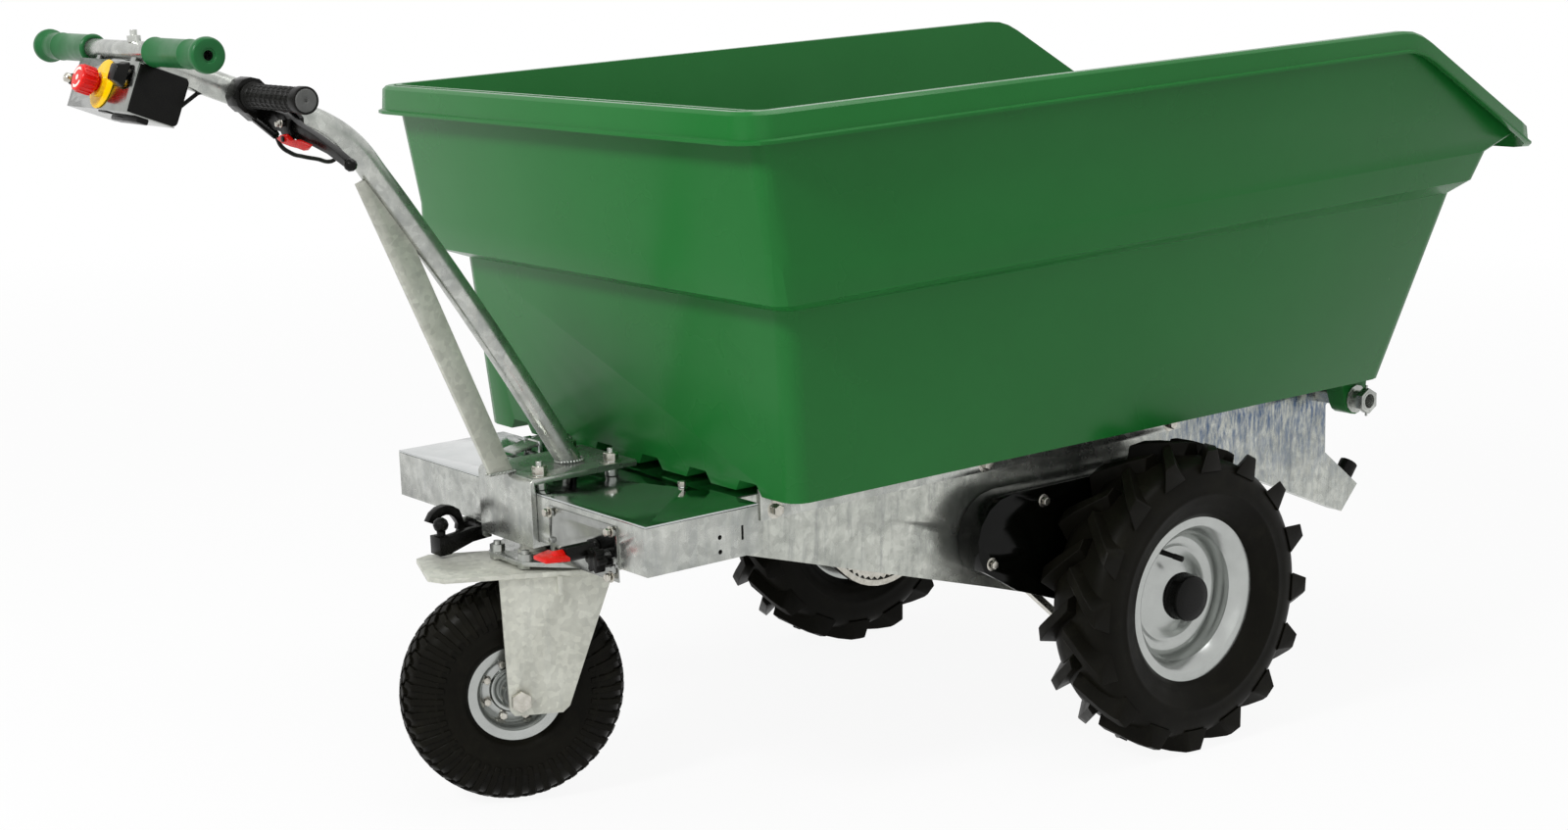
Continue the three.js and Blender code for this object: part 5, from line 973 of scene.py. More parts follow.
@dataclass
class DriveWheel:
    """One drive wheel: open tread tyre, dished rim, valve and hub cap.

    Args:
        stance: how the groups stand.
        side: the machine's side.
        lug_turn: how far the tread is turned from the rim, in degrees.
        lug_share: share of half a pitch that a bar takes.
        lug_lean: how far a bar leans round the wheel towards its outer end.
        lug_cuts: where a bar is split across, from -1 to 1.
    """

    stance: Stance
    side: Side
    track: float = 720.0
    radius: float = 211.0
    width: float = 108.0
    lug_height: float = 17.0
    lug_count: int = 16
    lug_turn: float = 4.4
    lug_share: float = 0.3
    lug_lean: float = 0.95
    lug_cuts: tuple[float, float] = (0.25, 0.8)
    flange: float = 114.0
    seat: float = 101.0
    rim_width: float = 68.0
    sheet: float = 3.0
    dish: float = 46.0
    hub: float = 23.0
    cap: float = 33.0
    slot_spot: tuple[float, float] = (-36.4, 62.5)

    def __post_init__(self) -> None:
        """Finds the wheel's frames, its body and the offsets that several pieces share."""
        self.middle = self.stance.wheels @ shift(0, self.side.value * self.track / 2, 0)
        self.place = self.middle @ self.side.flip
        self.body = self.side.of("wheel")
        self.crown = self.radius - self.lug_height
        self.back = self.rim_width / 2 - self.dish
        self.nose = self.back + self.hub * 0.9

    def lug(self, way: int) -> Object:
        """One bar of the tread, from a cube whose corners go to the bar's corners.

        Args:
            way: which half of the tread, as the sign of Y.

        Returns:
            The bar at angle zero.
        """
        half = self.width / 2
        half_angle = self.lug_share * math.pi / self.lug_count
        overlap, reach, foot_share, top_share, worn_from, worn = 0.08, 1.06, 1.75, 0.72, 0.84, 22.0

        def corner(co: Vector) -> Vector:
            """Puts a corner of the split cube on the bar's outline."""
            across = -overlap + reach * (co.y + 1) / 2
            outward = max(0.0, across)
            turn = half_angle * (0.85 + 0.25 * outward) * co.x
            if co.z > 0:
                radius = self.radius - max(0.0, across - worn_from) * worn
                turn *= top_share
            else:
                radius = self.crown - self.lug_height * (0.3 + outward * 0.55)
                turn *= foot_share
            angle = self.lug_lean * across * half / self.radius + turn
            return Vector((radius * math.cos(angle), way * across * half, radius * math.sin(angle)))

        near, far = self.lug_cuts
        piece = edit(cube("lug", 2.0), lambda: bpy.ops.mesh.bisect(plane_co=(0, near, 0), plane_no=(0, 1, 0)),
                     select_all, lambda: bpy.ops.mesh.bisect(plane_co=(0, far, 0), plane_no=(0, 1, 0)))
        return soften(edit(shape(piece, corner), face_out), 0.7, 1, 25.0)

    def tyre(self) -> None:
        """Carcass and tread bars as one piece."""
        outer = [(101.3, 28.9), (112, 29.5), (114.6, 34.5), (119, 39.5), (122, 42.6), (125, 43.6),
                 (127, 44.4), (131, 47.2), (138, 50.4), (146, 52.8), (148, 54.0), (151, 54.0), (153, 53.4),
                 (160, 53.8), (168, 53.0), (176, 51.4), (183, 48.6), (188, 43.5), (192, 36.0),
                 (self.crown, 26.0), (self.crown, 0.0)]
        inner = [(101.3, 24.0), (112, 25.0), (140, 45.0), (165, 44.0), (180, 26.0), (182, 0.0)]
        step = FULL_TURN / self.lug_count
        start = math.radians(self.lug_turn)
        rows = []
        for way, late in ((1, 0.0), (-1, 0.5)):
            turns = [spun(start - (index + late) * step) for index in range(self.lug_count)]
            rows.append(copies(self.lug(way), turns, "lugs"))
        whole = joined(self.side.of("tyre_tread"), [carcass(outer, inner), *rows])
        dress(settle(whole, self.middle), TYRE, self.side.of("drive_tyre"), body=self.body)

    def rim(self) -> None:
        """Rolled rim section, dished disc with its slot, and the valve."""
        half, s, seat, flange = self.rim_width / 2, self.sheet, self.seat, self.flange
        well = seat - s * 3.5
        outside = [(flange, half), (flange, half - s), (seat + 4, half - s * 1.3), (seat, half - s * 1.8),
                   (seat - 2, half * 0.62), (well, half * 0.45)]
        inside = [(seat + 1, -half + s * 0.3), (seat - s, -half + s * 1.4), (well - s, -half * 0.5)]
        back, nose = self.back, self.nose
        face = [(self.hub + 0.4, nose), (30, nose), (33, nose - 1.6), (40, back + 16), (52, back + 8.4),
                (62, back + 4.4), (66, back + 4.6), (70, back + 7.6), (76, back + 9.4), (82, back + 8.6),
                (seat - s * 4, back + 5)]
        disc = face + [(r, y - s) for r, y in reversed(face)]
        rim = joined("rim", [turned("ring", mirrored(outside) + mirrored(inside), HOME, 96, width=0.7),
                             turned("disc", disc, HOME, 96, width=0.5)])
        x, z = self.slot_spot
        length = math.hypot(x, z)
        cutter = block("slot", (length - 9, -30, -5), (length + 9, 30, 5), spun(math.atan2(-z, x)), 4.0)
        modify(rim, "BOOLEAN", operation="DIFFERENCE", solver="EXACT", object=cutter)
        bpy.data.objects.remove(cutter)
        dress(settle(rim, self.place), SILVER, self.side.of("drive_rim"), body=self.body)
        lean = facing((x * 0.88, back + 2, z * 1.05), (0.38, 1.0, -0.22), self.place)
        swing = lean @ Matrix.Rotation(-math.pi / 2, 4, "X") @ Matrix.Scale(-1, 4, (0, 1, 0))
        stem = turned("valve", [(0, 42), (3.4, 42), (4.0, 41), (4.0, 28), (3.4, 27.5), (3.8, 8), (6.2, 1),
                                (6.2, -4), (0, -4)], swing, 20, False)
        dress(stem, RUBBER, body=self.body, name=self.side.of("valve"))

    def hub_cap(self) -> None:
        """Domed black cap with a small step at its foot."""
        start = self.nose + 0.4
        depth = self.rim_width / 2 - start
        r = self.cap
        outline = [(r - 3, start), (r, start), (r, start + 3), (r - 1, start + 4),
                   (r - 1, start + depth * 0.72), (r * 0.93, start + depth * 0.88),
                   (r * 0.8, start + depth * 0.96), (r * 0.5, start + depth), (0, start + depth * 1.02),
                   (0, start + depth * 0.8), (r - 3, start + depth * 0.6)]
        cap = turned("cap", outline, self.place, 48, width=0.4)
        dress(cap, BLACK, self.side.of("hub_cap"), body=self.body, name=self.side.of("cap"))

    def build(self) -> None:
        """Builds the wheel."""
        self.tyre()
        self.rim()
        self.hub_cap()
        repaint(PLATED, self.side.of("sprocket_hub"))


@dataclass
class Caster:
    """The caster: block tread tyre, two part rim, fork and swivel plate."""

    frame: dict
    radius: float = 145.0
    flange: float = 62.0
    seat: float = 50.0
    rim_width: float = 56.0
    sheet: float = 3.0
    hub_half: float = 53.0
    blocks: int = 44
    tread: float = 5.0
    bolt_ring: float = 37.0
    bolt_count: int = 8
    fork_turn: float = -21.4
    body: str = "caster_wheel"

    def __post_init__(self) -> None:
        """Finds the wheel's frame from its joint."""
        self.place = joint_frame(self.frame, "caster_spin")

    def row(self, way: int, corners: Profile, foot: float, drops: Sequence[float],
            start: float = 0.0) -> Object:
        """A row of equal tread blocks round the tyre.

        Args:
            way: which half of the tread, as the sign of Y.
            corners: a block's corners in order, as (angle in pitches, offset).
            foot: how deep its foot lies under the tread's radius, in mm.
            drops: how far each corner's top lies under that radius, in mm.
            start: where the first block stands, in pitches.

        Returns:
            The row.
        """
        order = {(-1, -1): 0, (1, -1): 1, (1, 1): 2, (-1, 1): 3}
        pitch = FULL_TURN / self.blocks

        def corner(co: Vector) -> Vector:
            """Puts a corner of the cube on the block's outline."""
            index = order[(round(co.x), round(co.y))]
            turn, offset = corners[index]
            radius = self.radius - (drops[index] if co.z > 0 else foot)
            return Vector((radius * math.cos(turn * pitch), way * offset, radius * math.sin(turn * pitch)))

        pattern = soften(edit(shape(cube("block", 2.0), corner), face_out), 0.9, 1, 40.0)
        return copies(pattern, shares(self.blocks, start), "row")

    def tyre(self) -> None:
        """Carcass with a middle row of diamonds, two rows beside it and bars on the shoulders."""
        base = self.radius - self.tread
        outer = [(50.3, 22.9), (60, 23.5), (62.6, 28), (66, 33), (70, 36.4), (73, 37), (75, 36.6), (82, 39.6),
                 (92, 41.4), (102, 41.4), (103.4, 42.6), (105.6, 42.6), (107, 41.2), (118, 38.6), (126, 34.6),
                 (132, 29.6), (136, 24), (138.4, 17), (base, 8), (base, 0)]
        inner = [(50.3, 18), (60, 19), (85, 33), (105, 34), (125, 22), (131, 0)]
        rows = [self.row(1, [(-0.42, 0.0), (0.0, -7.5), (0.42, 0.0), (0.0, 7.5)], 9, [0.2] * 4)]
        for way in WAYS:
            rows += [
                self.row(way, [(-0.40, 9.0), (0.02, 3.2), (0.48, 12.5), (0.06, 18.5)], 12,
                         [0.6, 0.2, 1.2, 2.6], 0.5),
                self.row(way, [(-0.30, 19.5), (0.14, 17.5), (0.24, 33.0), (-0.20, 33.5)], 24,
                         [2.8, 2.4, 9.5, 9.8]),
                self.row(way, [(-0.22, 33.0), (0.22, 33.0), (0.25, 43.2), (-0.27, 43.2)], 50,
                         [8.6, 8.6, 34.0, 34.0], 0.06)]
        whole = joined("caster_tyre_tread", [carcass(outer, inner), *rows])
        dress(settle(whole, self.place), TYRE, "caster_tyre", body=self.body)

    def rim(self) -> None:
        """Two pressed halves bolted together round a bearing hub."""
        half, s, seat, flange = self.rim_width / 2, self.sheet, self.seat, self.flange
        well = seat - s * 1.6
        ring = [(flange, half), (flange, half - s), (flange - 4, half - s * 1.1), (seat + 3, half - s * 2.6),
                (seat, half - s * 3.2), (well, half * 0.45), (well, -half * 0.45), (seat, -half + s * 1.8),
                (seat + 3, -half + s * 1.3), (flange, -half + s), (flange, -half), (seat, -half + s * 0.4),
                (seat - s, -half + s * 1.6), (well - s, -half * 0.5), (well - s, half * 0.4),
                (seat - s, half - s * 3.0), (seat + 2, half - s * 1.7), (flange - 5, half - s * 0.5),
                (flange - 3, half)]
        disc = mirrored([(18, 5), (22, 5), (25, 8.5), (29, 9), (31, 5), (well - s + 1, 5)])
        end = self.hub_half
        hub = mirrored([(8.3, end), (13.6, end), (13.6, end - 8), (17, end - 12), (20, end - 20)])
        rim = joined("caster_wheel_rim", [turned("ring", ring, HOME, 80, width=0.6),
                                          turned("disc", disc, HOME, 64, width=0.4),
                                          turned("hub", hub, HOME, 48, width=0.4)])
        dress(settle(rim, self.place), SILVER, "caster_rim", body=self.body)
        r = self.bolt_ring
        angles = [FULL_TURN * (index + 0.5) / self.bolt_count for index in range(self.bolt_count)]
        spots = [facing((r * math.cos(angle), way * 5.0, r * math.sin(angle)), (0, way, 0), self.place)
                 for angle in angles for way in WAYS]
        dress(copies(hex_bolt(9.0, 5.0, 6.0, 3.0), spots, "caster_rim_bolts"), PLATED, body=self.body)

    def build(self) -> None:
        """Builds the caster, and the fork with the weld beads under its crown."""
        self.tyre()
        self.rim()
        refine("caster_fork", ZINC_PALE, 0.9, body="caster_fork")
        refine("caster_axle_bolt", PLATED, 0.6, body="caster_fork")
        refine("swivel_plate", ZINC, 0.8)
        x, y, _ = self.place.translation
        base = Matrix.Translation((x, y, 0)) @ Matrix.Rotation(math.radians(self.fork_turn), 4, "Z")
        beads = [weld((-22, way * 61.5, 304), (88, way * 61.5, 304), 2.4, base) for way in WAYS]
        dress(joined("fork_welds", beads), ZINC_PALE, body="caster_fork")


@dataclass
class Chassis:
    """Side plates, strips, guards, shaft, buffers and what lies between the plates."""

    stance: Stance
    strip_bolts: Sequence[float] = (-601.0, -251.0, 99.0)
    strip_bolt_y: float = 255.4
    strip_bolt_z: float = 208.9
    guard_bolts: Profile = ((-184.2, 153.4), (-278.4, 84.0))
    guard_bolt_y: float = 296.2

    def plates(self) -> None:
        """Side plates, strips and deck."""
        for side in Side:
            refine(side.of("side_plate"), ZINC_RUNS, 0.9)
            refine(side.of("support_strip"), ZINC, 0.7)
        refine("deck_sheet", STAINLESS, 0.5)
        spots = [facing((x, way * self.strip_bolt_y, self.strip_bolt_z), (0, way, 0), self.stance.chassis)
                 for way in WAYS for x in self.strip_bolts]
        dress(copies(hex_bolt(14.0, 7.2, 12.0, 3.0), spots, "strip_bolts"), PLATED)

    def guards(self) -> None:
        """Chain guards with their bolts and washers."""
        for side in Side:
            refine(side.of("chain_guard"), GUARD, 2.2, 3)
            repaint(PLATED, side.of("chain"), side.of("pinion_shaft"))
            spots = [facing((x, side.value * self.guard_bolt_y, z), (0, side.value, 0), self.stance.chassis)
                     for x, z in self.guard_bolts]
            dress(copies(hex_bolt(10.0, 5.0, 9.0), spots, side.of("guard_bolts")), PLATED)

    def build(self) -> None:
        """Builds the chassis with its shaft and buffers, and paints what shows from below."""
        self.plates()
        self.guards()
        refine("tipping_shaft", ZINC, 0.6)
        for side in Side:
            refine(side.of("buffer"), RUBBER, 1.6, 3, 50.0)
        for finish, node in ((ZINC, "battery_tray"), (BLACK, "battery_pack"), (ENAMEL, "geared_motor"),
                             (PLATED, "drive_axle")):
            repaint(finish, node)


@dataclass
class ElectricsBox:
    """The rear box with its cover, switch panel, isolator, socket and latch.

    Args:
        stance: how the groups stand.
        screw_inset: how far the panel's screws stand from its edges.
        cover_bolt: a cover bolt in the chassis frame, as x, y to either side, and z.
        pedal_reach: distance from its pivot beyond which the pedal is thickened.
        pedal_extra: how much the casting is thickened.
    """

    stance: Stance
    frame: dict
    screw_inset: float = 7.0
    cover_bolt: Point = (-675.0, 162.25, 233.6)
    pedal_reach: float = 24.0
    pedal_extra: float = 2.2

    def shell(self) -> None:
        """Box, cover and their bolts."""
        refine("electrics_box", ZINC, 0.8)
        refine("electrics_cover", STAINLESS, 0.6)
        refine("switch_panel", BRUSHED, 0.5, slot="plated_steel")
        low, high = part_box("switch_panel")
        inset = self.screw_inset * MM
        spots = [facing((low[0] / MM, y / MM, z / MM), (-1, 0, 0)) for y in (low[1] + inset, high[1] - inset)
                 for z in (low[2] + inset, high[2] - inset)]
        dress(copies(hex_bolt(9.0, 5.0, 7.0, 1.5), spots, "panel_screws"), PLATED)
        repaint(PLATED, "motor_controller")
        x, y, z = self.cover_bolt
        spots = [facing((x, way * y, z), (0, 0, 1), self.stance.chassis) for way in WAYS]
        dress(copies(hex_bolt(9.0, 6.4, 8.5), spots, "cover_bolts"), PLATED)

    def pedal(self) -> None:
        """Pedal casting, swollen beyond a reach from its pivot."""
        piece = copy_of("release_pedal", "release_pedal_casting")
        centre = joint_frame(self.frame, "pedal_lift").translation
        group = piece.vertex_groups.new(name="far")
        group.add([vertex.index for vertex in piece.data.vertices
                   if math.hypot(vertex.co.x - centre.x, vertex.co.z - centre.z) > self.pedal_reach * MM],
                  1.0, "REPLACE")
        modify(piece, "DISPLACE", mid_level=0.0, strength=self.pedal_extra * MM, vertex_group=group.name)
        dress(soften(piece, 1.0, 2, 45.0), BLACK, "release_pedal", body="release_pedal")

    def build(self) -> None:
        """Builds the box, its switches and the latch."""
        self.shell()
        refine("isolator_body", BLACK, 0.7)
        refine("isolator_key", RED, 0.9, body="isolator_key")
        refine("charging_socket", BLACK, 0.8)
        refine("latch_hook", ZINC, 0.5, body="latch_hook")
        self.pedal()
        refine("pedal_bracket", ZINC, 0.6)


@dataclass
class Steering:
    """Bracket, pole, brace, cross bar, grips and hand brake.

    Args:
        stance: how the groups stand.
        pole_points: the pole's middle line in the chassis frame.
        brake: middle of the brake's stub in the chassis frame, as x and z.
        pivot_half: how far the lever's pivot bolt stands from the lever's middle.
        cable_drop: how far the cable runs under the pole's middle line.
        cable_side: how far it runs beside it.
        cable_head: the cable's way from the lever to the pole.
        cable_tail: its way from the pole's foot to the motor.
    """

    stance: Stance
    frame: dict
    pole_radius: float = 16.0
    bar_radius: float = 11.0
    bar_length: float = 432.0
    grip_radius: float = 15.7
    grip_start: float = 83.0
    pole_points: Sequence[Point] = (
        (-736, 0, 252.3), (-808, 0, 372), (-880, 0, 486), (-932, 0, 564), (-984, 0, 639), (-1015, 0, 680),
        (-1050, 0, 706), (-1097, 0, 726), (-1140, 0, 745), (-1183, 0, 763), (-1275, 0, 802),
    )
    foot_beads: int = 26
    bracket_bolts: Sequence[Point] = ((-700, -42, 252.4), (-807, -42, 252.4), (-700, 56, 252.4))
    brake: tuple[float, float] = (-1154.0, 749.0)
    brake_radius: float = 14.0
    brake_start: float = 38.0
    brake_length: float = 133.0
    brake_ribs: int = 9
    brake_bars: int = 16
    pivot_half: float = 15.0
    cable_radius: float = 2.5
    cable_drop: float = 4.0
    cable_side: float = 6.0
    cable_head: Sequence[Point] = (
        (-1140.8, -65, 702.5), (-1139.5, -73, 692.5), (-1129, -71, 685), (-1105, -51, 677.5),
        (-1075, -29.7, 670.4), (-1048, -9, 664), (-1022, 4, 668), (-1002, 6, 658),
    )
    cable_tail: Sequence[Point] = (
        (-735, 6, 262), (-727, 6, 232), (-700, 6, 214), (-662, 6, 204), (-620, 4, 212), (-560, 0, 224),
        (-480, 0, 226), (-400, -6, 224), (-345, -30, 205), (-300, -60, 176),
    )

    def welds(self) -> None:
        """Bead round the pole's foot and beads along both ends of the brace."""
        place = self.stance.chassis
        x, _, z = self.pole_points[0]
        bead = turned("ripple", [(0, -2.6), (2.0, -1.6), (2.6, 0), (2.0, 1.6), (0, 2.6)], HOME, 8, False,
                      sharp=80)
        ring = []
        for index in range(self.foot_beads):
            angle = FULL_TURN * index / self.foot_beads
            ring.append(place @ shift(x + self.pole_radius * 1.12 * math.cos(angle),
                                      self.pole_radius * math.sin(angle), z + 1.5))
        beads = [copies(bead, ring, "foot_weld")]
        beads += [weld((-820, way * 4.5, 254), (-856, way * 4.5, 254), 2.2, place) for way in WAYS]
        beads += [weld((-1022, way * 6, 686), (-984, way * 6, 634), 2.6, place) for way in WAYS]
        dress(joined("handle_welds", beads), ZINC)

    def frame_parts(self) -> None:
        """Bracket with bolts, pole with its stub for the brake, brace and cross bar."""
        place = self.stance.chassis
        refine("handle_bracket", ZINC, 1.4, 3)
        refine("handle_brace", ZINC_PALE, 1.0)
        refine("handle_bar", ZINC, 0.5)
        x, z = self.brake
        stub = [(x, y, z) for y in (-self.brake_start - 4, -20, 0)]
        pole = [tube("pole", self.pole_points, self.pole_radius, place, 32, 10),
                tube("stub", stub, self.bar_radius, place, 24, 2)]
        dress(joined("handle_pole_tube", pole), ZINC, "handle_pole")
        self.welds()
        spots = [facing(spot, (0, 0, 1), place) for spot in self.bracket_bolts]
        dress(copies(hex_bolt(17.0, 9.6, 14.0, 10.0), spots, "bracket_bolts"), PLATED)

    def grips(self) -> None:
        """Moulded grips with a collar, a flared end and a hole."""
        x, z = self.stance.bar
        r, start, half = self.grip_radius, self.grip_start, self.bar_length / 2
        end = half + r * 0.3
        bore = self.bar_radius + 0.3
        seam = start + (end - start) * 0.66
        outline = [(bore, start), (r * 0.92, start), (r * 1.04, start + 2), (r * 1.04, start + 3.5),
                   (r * 0.985, start + 5), (r * 0.985, seam - 1), (r * 1.02, seam), (r * 1.02, seam + 1.5),
                   (r * 0.985, seam + 2.5), (r * 0.985, end - r * 1.7), (r * 0.93, end - r * 1.1),
                   (r * 1.05, end - r * 0.85), (r * 1.22, end - r * 0.62), (r * 1.24, end - r * 0.4),
                   (r * 1.2, end - r * 0.12), (r * 1.08, end), (r * 0.5, end), (r * 0.46, end - 2),
                   (r * 0.34, end - 2), (r * 0.34, half + 0.4), (bore, half + 0.4)]
        for side in Side:
            grip = turned("grip", outline, self.stance.chassis @ shift(x, 0, z) @ side.flip, 48, width=0.5,
                          sharp=40.0)
            dress(grip, GRIP_GREEN, side.of("grip"), name=side.of("grip_sleeve"))

    def brake_grip(self) -> None:
        """Ribbed brake sleeve with lengthwise bars and an end disc."""
        x, z = self.brake
        start, end = -self.brake_start - 0.4, -self.brake_start - self.brake_length
        r, bore, ribbed = self.brake_radius, self.bar_radius + 0.3, self.brake_length * 0.82
        outline = [(bore, start), (r * 1.1, start), (r * 1.14, start - 1), (r * 1.14, start - 4),
                   (r * 0.94, start - 5)]
        for rib in range(self.brake_ribs):
            y = start - 6 - ribbed * rib / self.brake_ribs
            outline += [(r * 0.93, y), (r, y - 1.2), (r * 1.02, y - 3.2), (r * 0.93, y - 4.6)]
        outline += [(r * 0.94, start - 7 - ribbed), (r * 1.09, start - 8 - ribbed), (r * 1.11, end + 3),
                    (r * 1.08, end + 0.6), (r * 0.95, end + 0.6), (r * 0.95, end + 3), (bore, end + 3)]
        place = self.stance.chassis @ shift(x, 0, z)
        dress(turned("brake_sleeve", outline[::-1], place, 48, width=0.3), RUBBER, "brake_grip")
        disc = turned("brake_end_disc", [(0, end + 2.9), (r * 0.93, end + 2.9), (r * 0.93, end + 0.8),
                                         (r * 0.85, end), (r * 0.24, end), (r * 0.2, end + 0.5),
                                         (r * 0.12, end + 0.5), (r * 0.08, end + 2.0), (0, end + 2.0)],
                      place, 40, False, 0.2)
        dress(disc, GREY)
        bar = block("bar", (-0.8, start - 8 - ribbed, r * 0.86), (0.8, start - 7, r * 0.985), HOME, 0.3)
        dress(copies(bar, [place @ turn for turn in shares(self.brake_bars)], "brake_grip_bars"), RUBBER)

    def hand_brake(self) -> None:
        """Perch, lever with its pivot bolt, parking catch and cable."""
        head = facing((0, self.pivot_half, 0), (0, 1, 0), joint_frame(self.frame, "brake_pull"))
        dress(copies(hex_bolt(6.0, 3.4, 4.6), [head], "lever_pivot_bolt"), PLATED)
        refine("brake_perch", BLACK, 1.2, 2, 40.0)
        refine("brake_lever", BLACK, 1.6, 3, 45.0, body="brake_lever")
        refine("parking_lock", RED, 0.9, body="parking_lock")
        inside = [(x, self.cable_side, z - self.cable_drop) for x, _, z in reversed(self.pole_points[1:4])]
        cable = tube("brake_cable_jacket", [*self.cable_head, *inside, *self.cable_tail], self.cable_radius,
                     self.stance.chassis, 12, 8)
        dress(cable, RUBBER, "brake_cable")
        repaint(RUBBER, "control_cable")

    def build(self) -> None:
        """Builds the steering."""
        self.frame_parts()
        self.grips()
        self.brake_grip()
        self.hand_brake()


@dataclass
class ControlBox:
    """The box under the cross bar.

    Args:
        stance: how the groups stand.
        stop_share: how far down the panel the emergency stop sits.
        ring: depth of the stop's collar.
        knob_share: how far down the panel the speed knob sits.
        flutes: ridges round the stop's head.
    """

    stance: Stance
    width: float = 163.0
    height: float = 56.5
    depth: float = 58.0
    corner: float = 6.0
    stop_y: float = -2.0
    stop_share: float = 0.53
    ring: float = 7.0
    travel: float = 4.0
    head_radius: float = 15.5
    head_length: float = 19.0
    knob_y: float = 48.0
    knob_share: float = 0.52
    flutes: int = 18

    def along(self, y: float, z: float) -> Matrix:
        """Frame of a round control: its Y axis points out of the panel."""
        return self.stance.controls @ shift(0, y, z) @ Matrix.Rotation(math.pi / 2, 4, "Z")

    def stop(self) -> None:
        """Yellow collar and a red, finely fluted head with two white arrows and a centre dot."""
        refine("stop_collar", YELLOW, 0.5)
        base = self.ring + self.travel + 0.5
        r, length = self.head_radius, self.head_length
        end = base + length
        place = self.along(self.stop_y, -self.height * self.stop_share)
        outline = [(0, -self.ring), (7.9, -self.ring), (7.9, base), (r * 0.88, base), (r * 0.93, base + 1.2),
                   (r * 0.96, base + length * 0.3), (r * 0.98, base + length * 0.6), (r * 0.98, end - 2.2),
                   (r * 0.95, end - 0.7), (r * 0.88, end), (0, end)]
        head = turned("stop_head", outline, place, 48, False, 0.4, 45.0)
        flute = turned("flute", [(0, base + 1), (1.0, base + 1.6), (1.0, end - 3), (0, end - 2.4)], HOME, 8,
                       False)
        rims = [place @ turn @ shift(r * 0.965, 0, 0) for turn in shares(self.flutes)]
        dress(joined("stop_mushroom", [head, copies(flute, rims, "flutes")]), RED, "emergency_stop",
              body="emergency_stop")
        dot = turned("dot", [(0, end - 0.2), (r * 0.2, end - 0.2), (r * 0.2, end + 0.25), (0, end + 0.25)],
                     place, 24, False)
        marks = [dot, *(self.arrow(place, end, start) for start in (20.0, 200.0))]
        dress(joined("stop_marks", marks), WHITE, body="emergency_stop")

    def arrow(self, place: Matrix, face: float, start: float) -> Object:
        """A curved arrow as a thin raised band on the stop head.

        Args:
            place: frame of the head.
            face: how far out the head's face is, in mm.
            start: where the band starts, in degrees.

        Returns:
            The arrow.
        """
        inner, outer, steps, sweep, tip = self.head_radius * 0.56, self.head_radius * 0.76, 10, 110.0, 0.2
        middle = (outer + inner) / 2
        points = []
        for radius, way in ((outer, 1), (inner, -1)):
            for index in list(range(steps + 1))[::way]:
                share = index / steps
                point = middle + (radius - middle) * (1.0 if share < 1.0 - tip else (1.0 - share) / tip)
                angle = math.radians(start + sweep * share)
                points.append((point * math.cos(angle), point * math.sin(angle)))
        return plate("arrow", points, face - 0.1, face + 0.25, place, 0.0)

    def knob(self) -> None:
        """Speed knob with a bright tip."""
        place = self.along(self.knob_y, -self.height * self.knob_share)
        barrel = turned("knob_barrel", [(0, -12), (3.4, -12), (3.4, 0.4), (6.9, 0.4), (7.0, 1.2), (6.6, 14),
                                        (6.2, 17.6), (5.4, 18.4), (0, 18.4)], place, 36, False, 0.4)
        dress(barrel, BLACK, "speed_knob", body="speed_knob")
        tip = turned("knob_tip", [(0, 18.3), (5.0, 18.3), (5.2, 19), (5.2, 23.6), (4.2, 24.6), (1.6, 24.6),
                                  (1.2, 23.4), (0, 23.4)], place, 32, False, 0.3)
        dress(tip, PLATED, body="speed_knob")

    def panels(self) -> None:
        """Black side panels with round corners that stand a little proud, and black blocks under the box as
        painted shade for the dark insides of its slot openings.
        """
        place, under, half = self.stance.controls, -self.height, self.width / 2
        low_x, low_z, high_x, high_z = 1.4, under + 1.2, self.depth + 2.4, -0.6
        outline = []
        corners = ((high_x, high_z, 0), (low_x, high_z, 90), (low_x, low_z, 180), (high_x, low_z, 270))
        for x, z, turn in corners:
            cx = x - self.corner if x == high_x else x + self.corner
            cz = z - self.corner if z == high_z else z + self.corner
            for angle in (math.radians(turn + step * 18) for step in range(6)):
                outline.append((cx + self.corner * math.cos(angle), cz + self.corner * math.sin(angle)))
        pieces = [plate("panel", outline, *sorted((way * (half - 1.4), way * (half + 0.7))), place, 0.7)
                  for way in WAYS]
        # Black blocks under the box: painted shade in place of the dark insides of its slot openings.
        pieces.append(block("clip", (15, -81, under - 6.5), (29, -10, under + 0.2), place, 1.8))
        pieces.append(block("catch", (4, -22, under - 1.6), (12, 2, under + 0.2), place, 0.7))
        dress(joined("control_side_panels", pieces), BLACK)

    def build(self) -> None:
        """Builds the control box."""
        refine("control_bracket", BRUSHED, 0.4)
        refine("control_enclosure", BLACK, 1.0)
        refine("direction_switch", BLACK, 1.0, 3, 50.0, body="direction_switch")
        self.stop()
        self.knob()
        self.panels()


# Studio


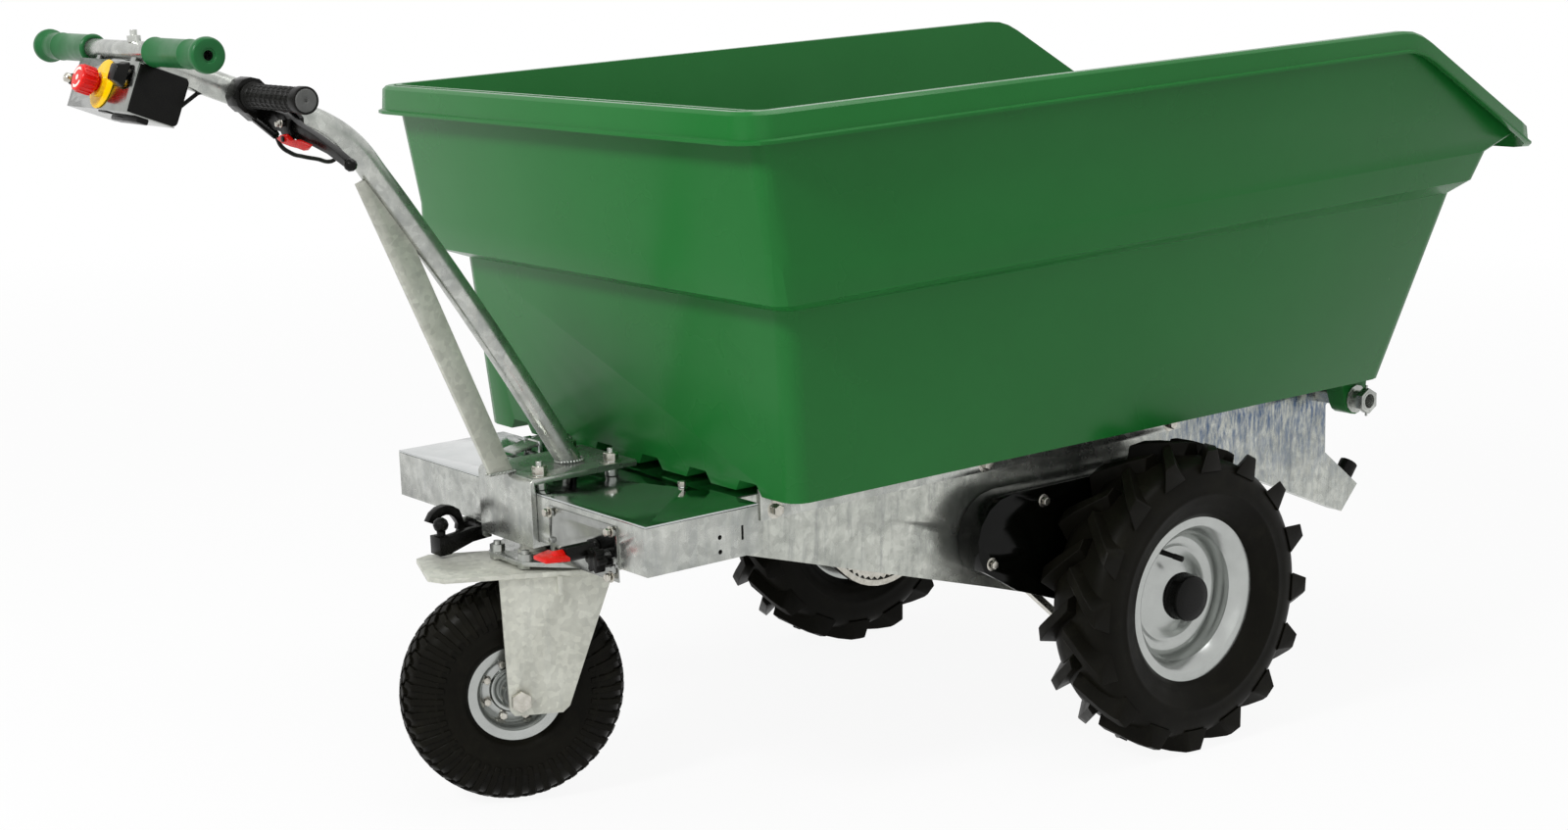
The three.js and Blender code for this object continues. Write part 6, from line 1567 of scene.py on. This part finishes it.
@dataclass(frozen=True)
class Studio:
    """Pale floor, plain light and the camera of the photograph.

    Args:
        axle: centre of the drive axle, in metres.
        eye: the camera's place, in mm from the foot of the axle's middle.
        yaw: how far the camera is turned, in degrees, as pitch and roll are.
        lens: focal length on a sensor 36 mm wide.
    """

    axle: Vector
    eye: Point = (-2395.1, -2585.2, 1051.1)
    yaw: float = 37.689
    pitch: float = 10.365
    roll: float = 0.083
    lens: float = 55.80

    def camera(self) -> None:
        """Camera at the photograph's place and angle."""
        data = bpy.data.cameras.new("camera")
        data.sensor_width = 36.0
        data.lens = self.lens
        data.clip_start, data.clip_end = 0.05, 200.0
        camera = linked(bpy.data.objects.new("camera", data))
        turn = HOME
        for angle, axis in ((-self.yaw, "Z"), (90 - self.pitch, "X"), (-self.roll, "Z")):
            turn = turn @ Matrix.Rotation(math.radians(angle), 4, axis)
        camera.matrix_world = Matrix.Translation(Vector(self.eye) * MM + Vector((self.axle.x, 0, 0))) @ turn
        bpy.context.scene.camera = camera

    def world(self) -> None:
        """Even studio surround: white where it is seen or mirrored, softer as light."""
        world = bpy.data.worlds.new("surround")
        bpy.context.scene.world = world
        tree = cleared(world)
        path = add(tree, "LightPath")
        eyes = add(tree, "Math", {"operation": "MAXIMUM"},
                   {0: path.outputs["Is Camera Ray"], 1: path.outputs["Is Transmission Ray"]})
        seen = add(tree, "Math", {"operation": "MAXIMUM"},
                   {0: eyes.outputs["Value"], 1: path.outputs["Is Glossy Ray"]})
        where = add(tree, "TexCoord").outputs["Generated"]
        height = add(tree, "SeparateXYZ", None, {"Vector": where}).outputs["Z"]
        sky = add(tree, "MapRange", {"From Min": -0.2, "From Max": 0.9, "To Min": 0.24, "To Max": 0.55},
                  {"Value": height})
        light = add(tree, "Background", {"Color": (1, 1, 1, 1)}, {"Strength": sky.outputs["Result"]})
        white = add(tree, "Background", {"Color": (1, 1, 1, 1), "Strength": 1.0})
        mix = add(tree, "MixShader", None, {0: seen.outputs["Value"], 1: light.outputs["Background"],
                                                      2: white.outputs["Background"]})
        add(tree, "OutputWorld", None, {"Surface": mix.outputs["Shader"]})

    def floor(self) -> None:
        """Pale floor that fades to the white surround and keeps the machine's shadow."""
        deselect()
        bpy.ops.mesh.primitive_circle_add(vertices=96, radius=9.0, fill_type="NGON", location=(0, 0, 0))
        floor = bpy.context.object
        floor.name = "floor"
        made = bpy.data.materials.new("floor")
        tree = cleared(made)
        where = add(tree, "TexCoord").outputs["Object"]
        reach = add(tree, "VectorMath", {"operation": "LENGTH"}, {0: where})
        fade = add(tree, "MapRange", {"From Min": 2.2, "From Max": 6.5, "To Min": 0.92, "To Max": 1.0},
                   {"Value": reach.outputs["Value"]})
        path = add(tree, "LightPath")
        seen = add(tree, "Math", {"operation": "MAXIMUM"},
                   {0: path.outputs["Is Camera Ray"], 1: path.outputs["Is Glossy Ray"]})
        share = add(tree, "Math", {"operation": "MULTIPLY"},
                    {0: fade.outputs["Result"], 1: seen.outputs["Value"]})
        matt = add(tree, "BsdfDiffuse", {"Color": linear("#f4f4f4")})
        glow = add(tree, "Emission", {"Color": (1, 1, 1, 1), "Strength": 1.0})
        mix = add(tree, "MixShader", None, {0: share.outputs["Value"], 1: matt.outputs["BSDF"],
                                                      2: glow.outputs["Emission"]})
        add(tree, "OutputMaterial", None, {"Surface": mix.outputs["Shader"]})
        floor.data.materials.append(made)

    def lamp(self, name: str, spot: Point, aim: Point, size: float, power: float) -> None:
        """One soft square lamp that looks at a point."""
        data = bpy.data.lights.new(name, "AREA")
        data.size = size
        data.energy = power
        lamp = linked(bpy.data.objects.new(name, data))
        lamp.location = spot
        lamp.rotation_mode = "QUATERNION"
        lamp.rotation_quaternion = (Vector(aim) - Vector(spot)).to_track_quat("-Z", "Y")

    def build(self) -> None:
        """Sets up the studio."""
        bpy.context.scene.view_settings.view_transform = "Standard"
        self.world()
        self.floor()
        self.lamp("key", (-3.6, -0.8, 3.0), (-0.2, 0, 0.5), 0.8, 95.0)
        self.lamp("fill", (-1.8, -4.2, 2.2), (0, 0, 0.5), 2.6, 6.0)
        self.lamp("top", (0.4, -0.5, 3.6), (0, 0, 0.6), 1.8, 36.0)
        self.camera()


def main() -> None:
    """Builds the sub-assemblies in order and reports each piece."""
    logging.basicConfig(level=logging.INFO, format="%(message)s")
    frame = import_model()
    axle = Vector(next(entry for entry in frame["joints"] if entry["name"] == "left_wheel_spin")["pos_m"])
    stance = Stance(axle)
    Tub().build()
    for side in Side:
        DriveWheel(stance, side).build()
    Caster(frame).build()
    Chassis(stance).build()
    ElectricsBox(stance, frame).build()
    Steering(stance, frame).build()
    ControlBox(stance).build()
    Studio(axle).build()


if __name__ == "__main__":
    main()
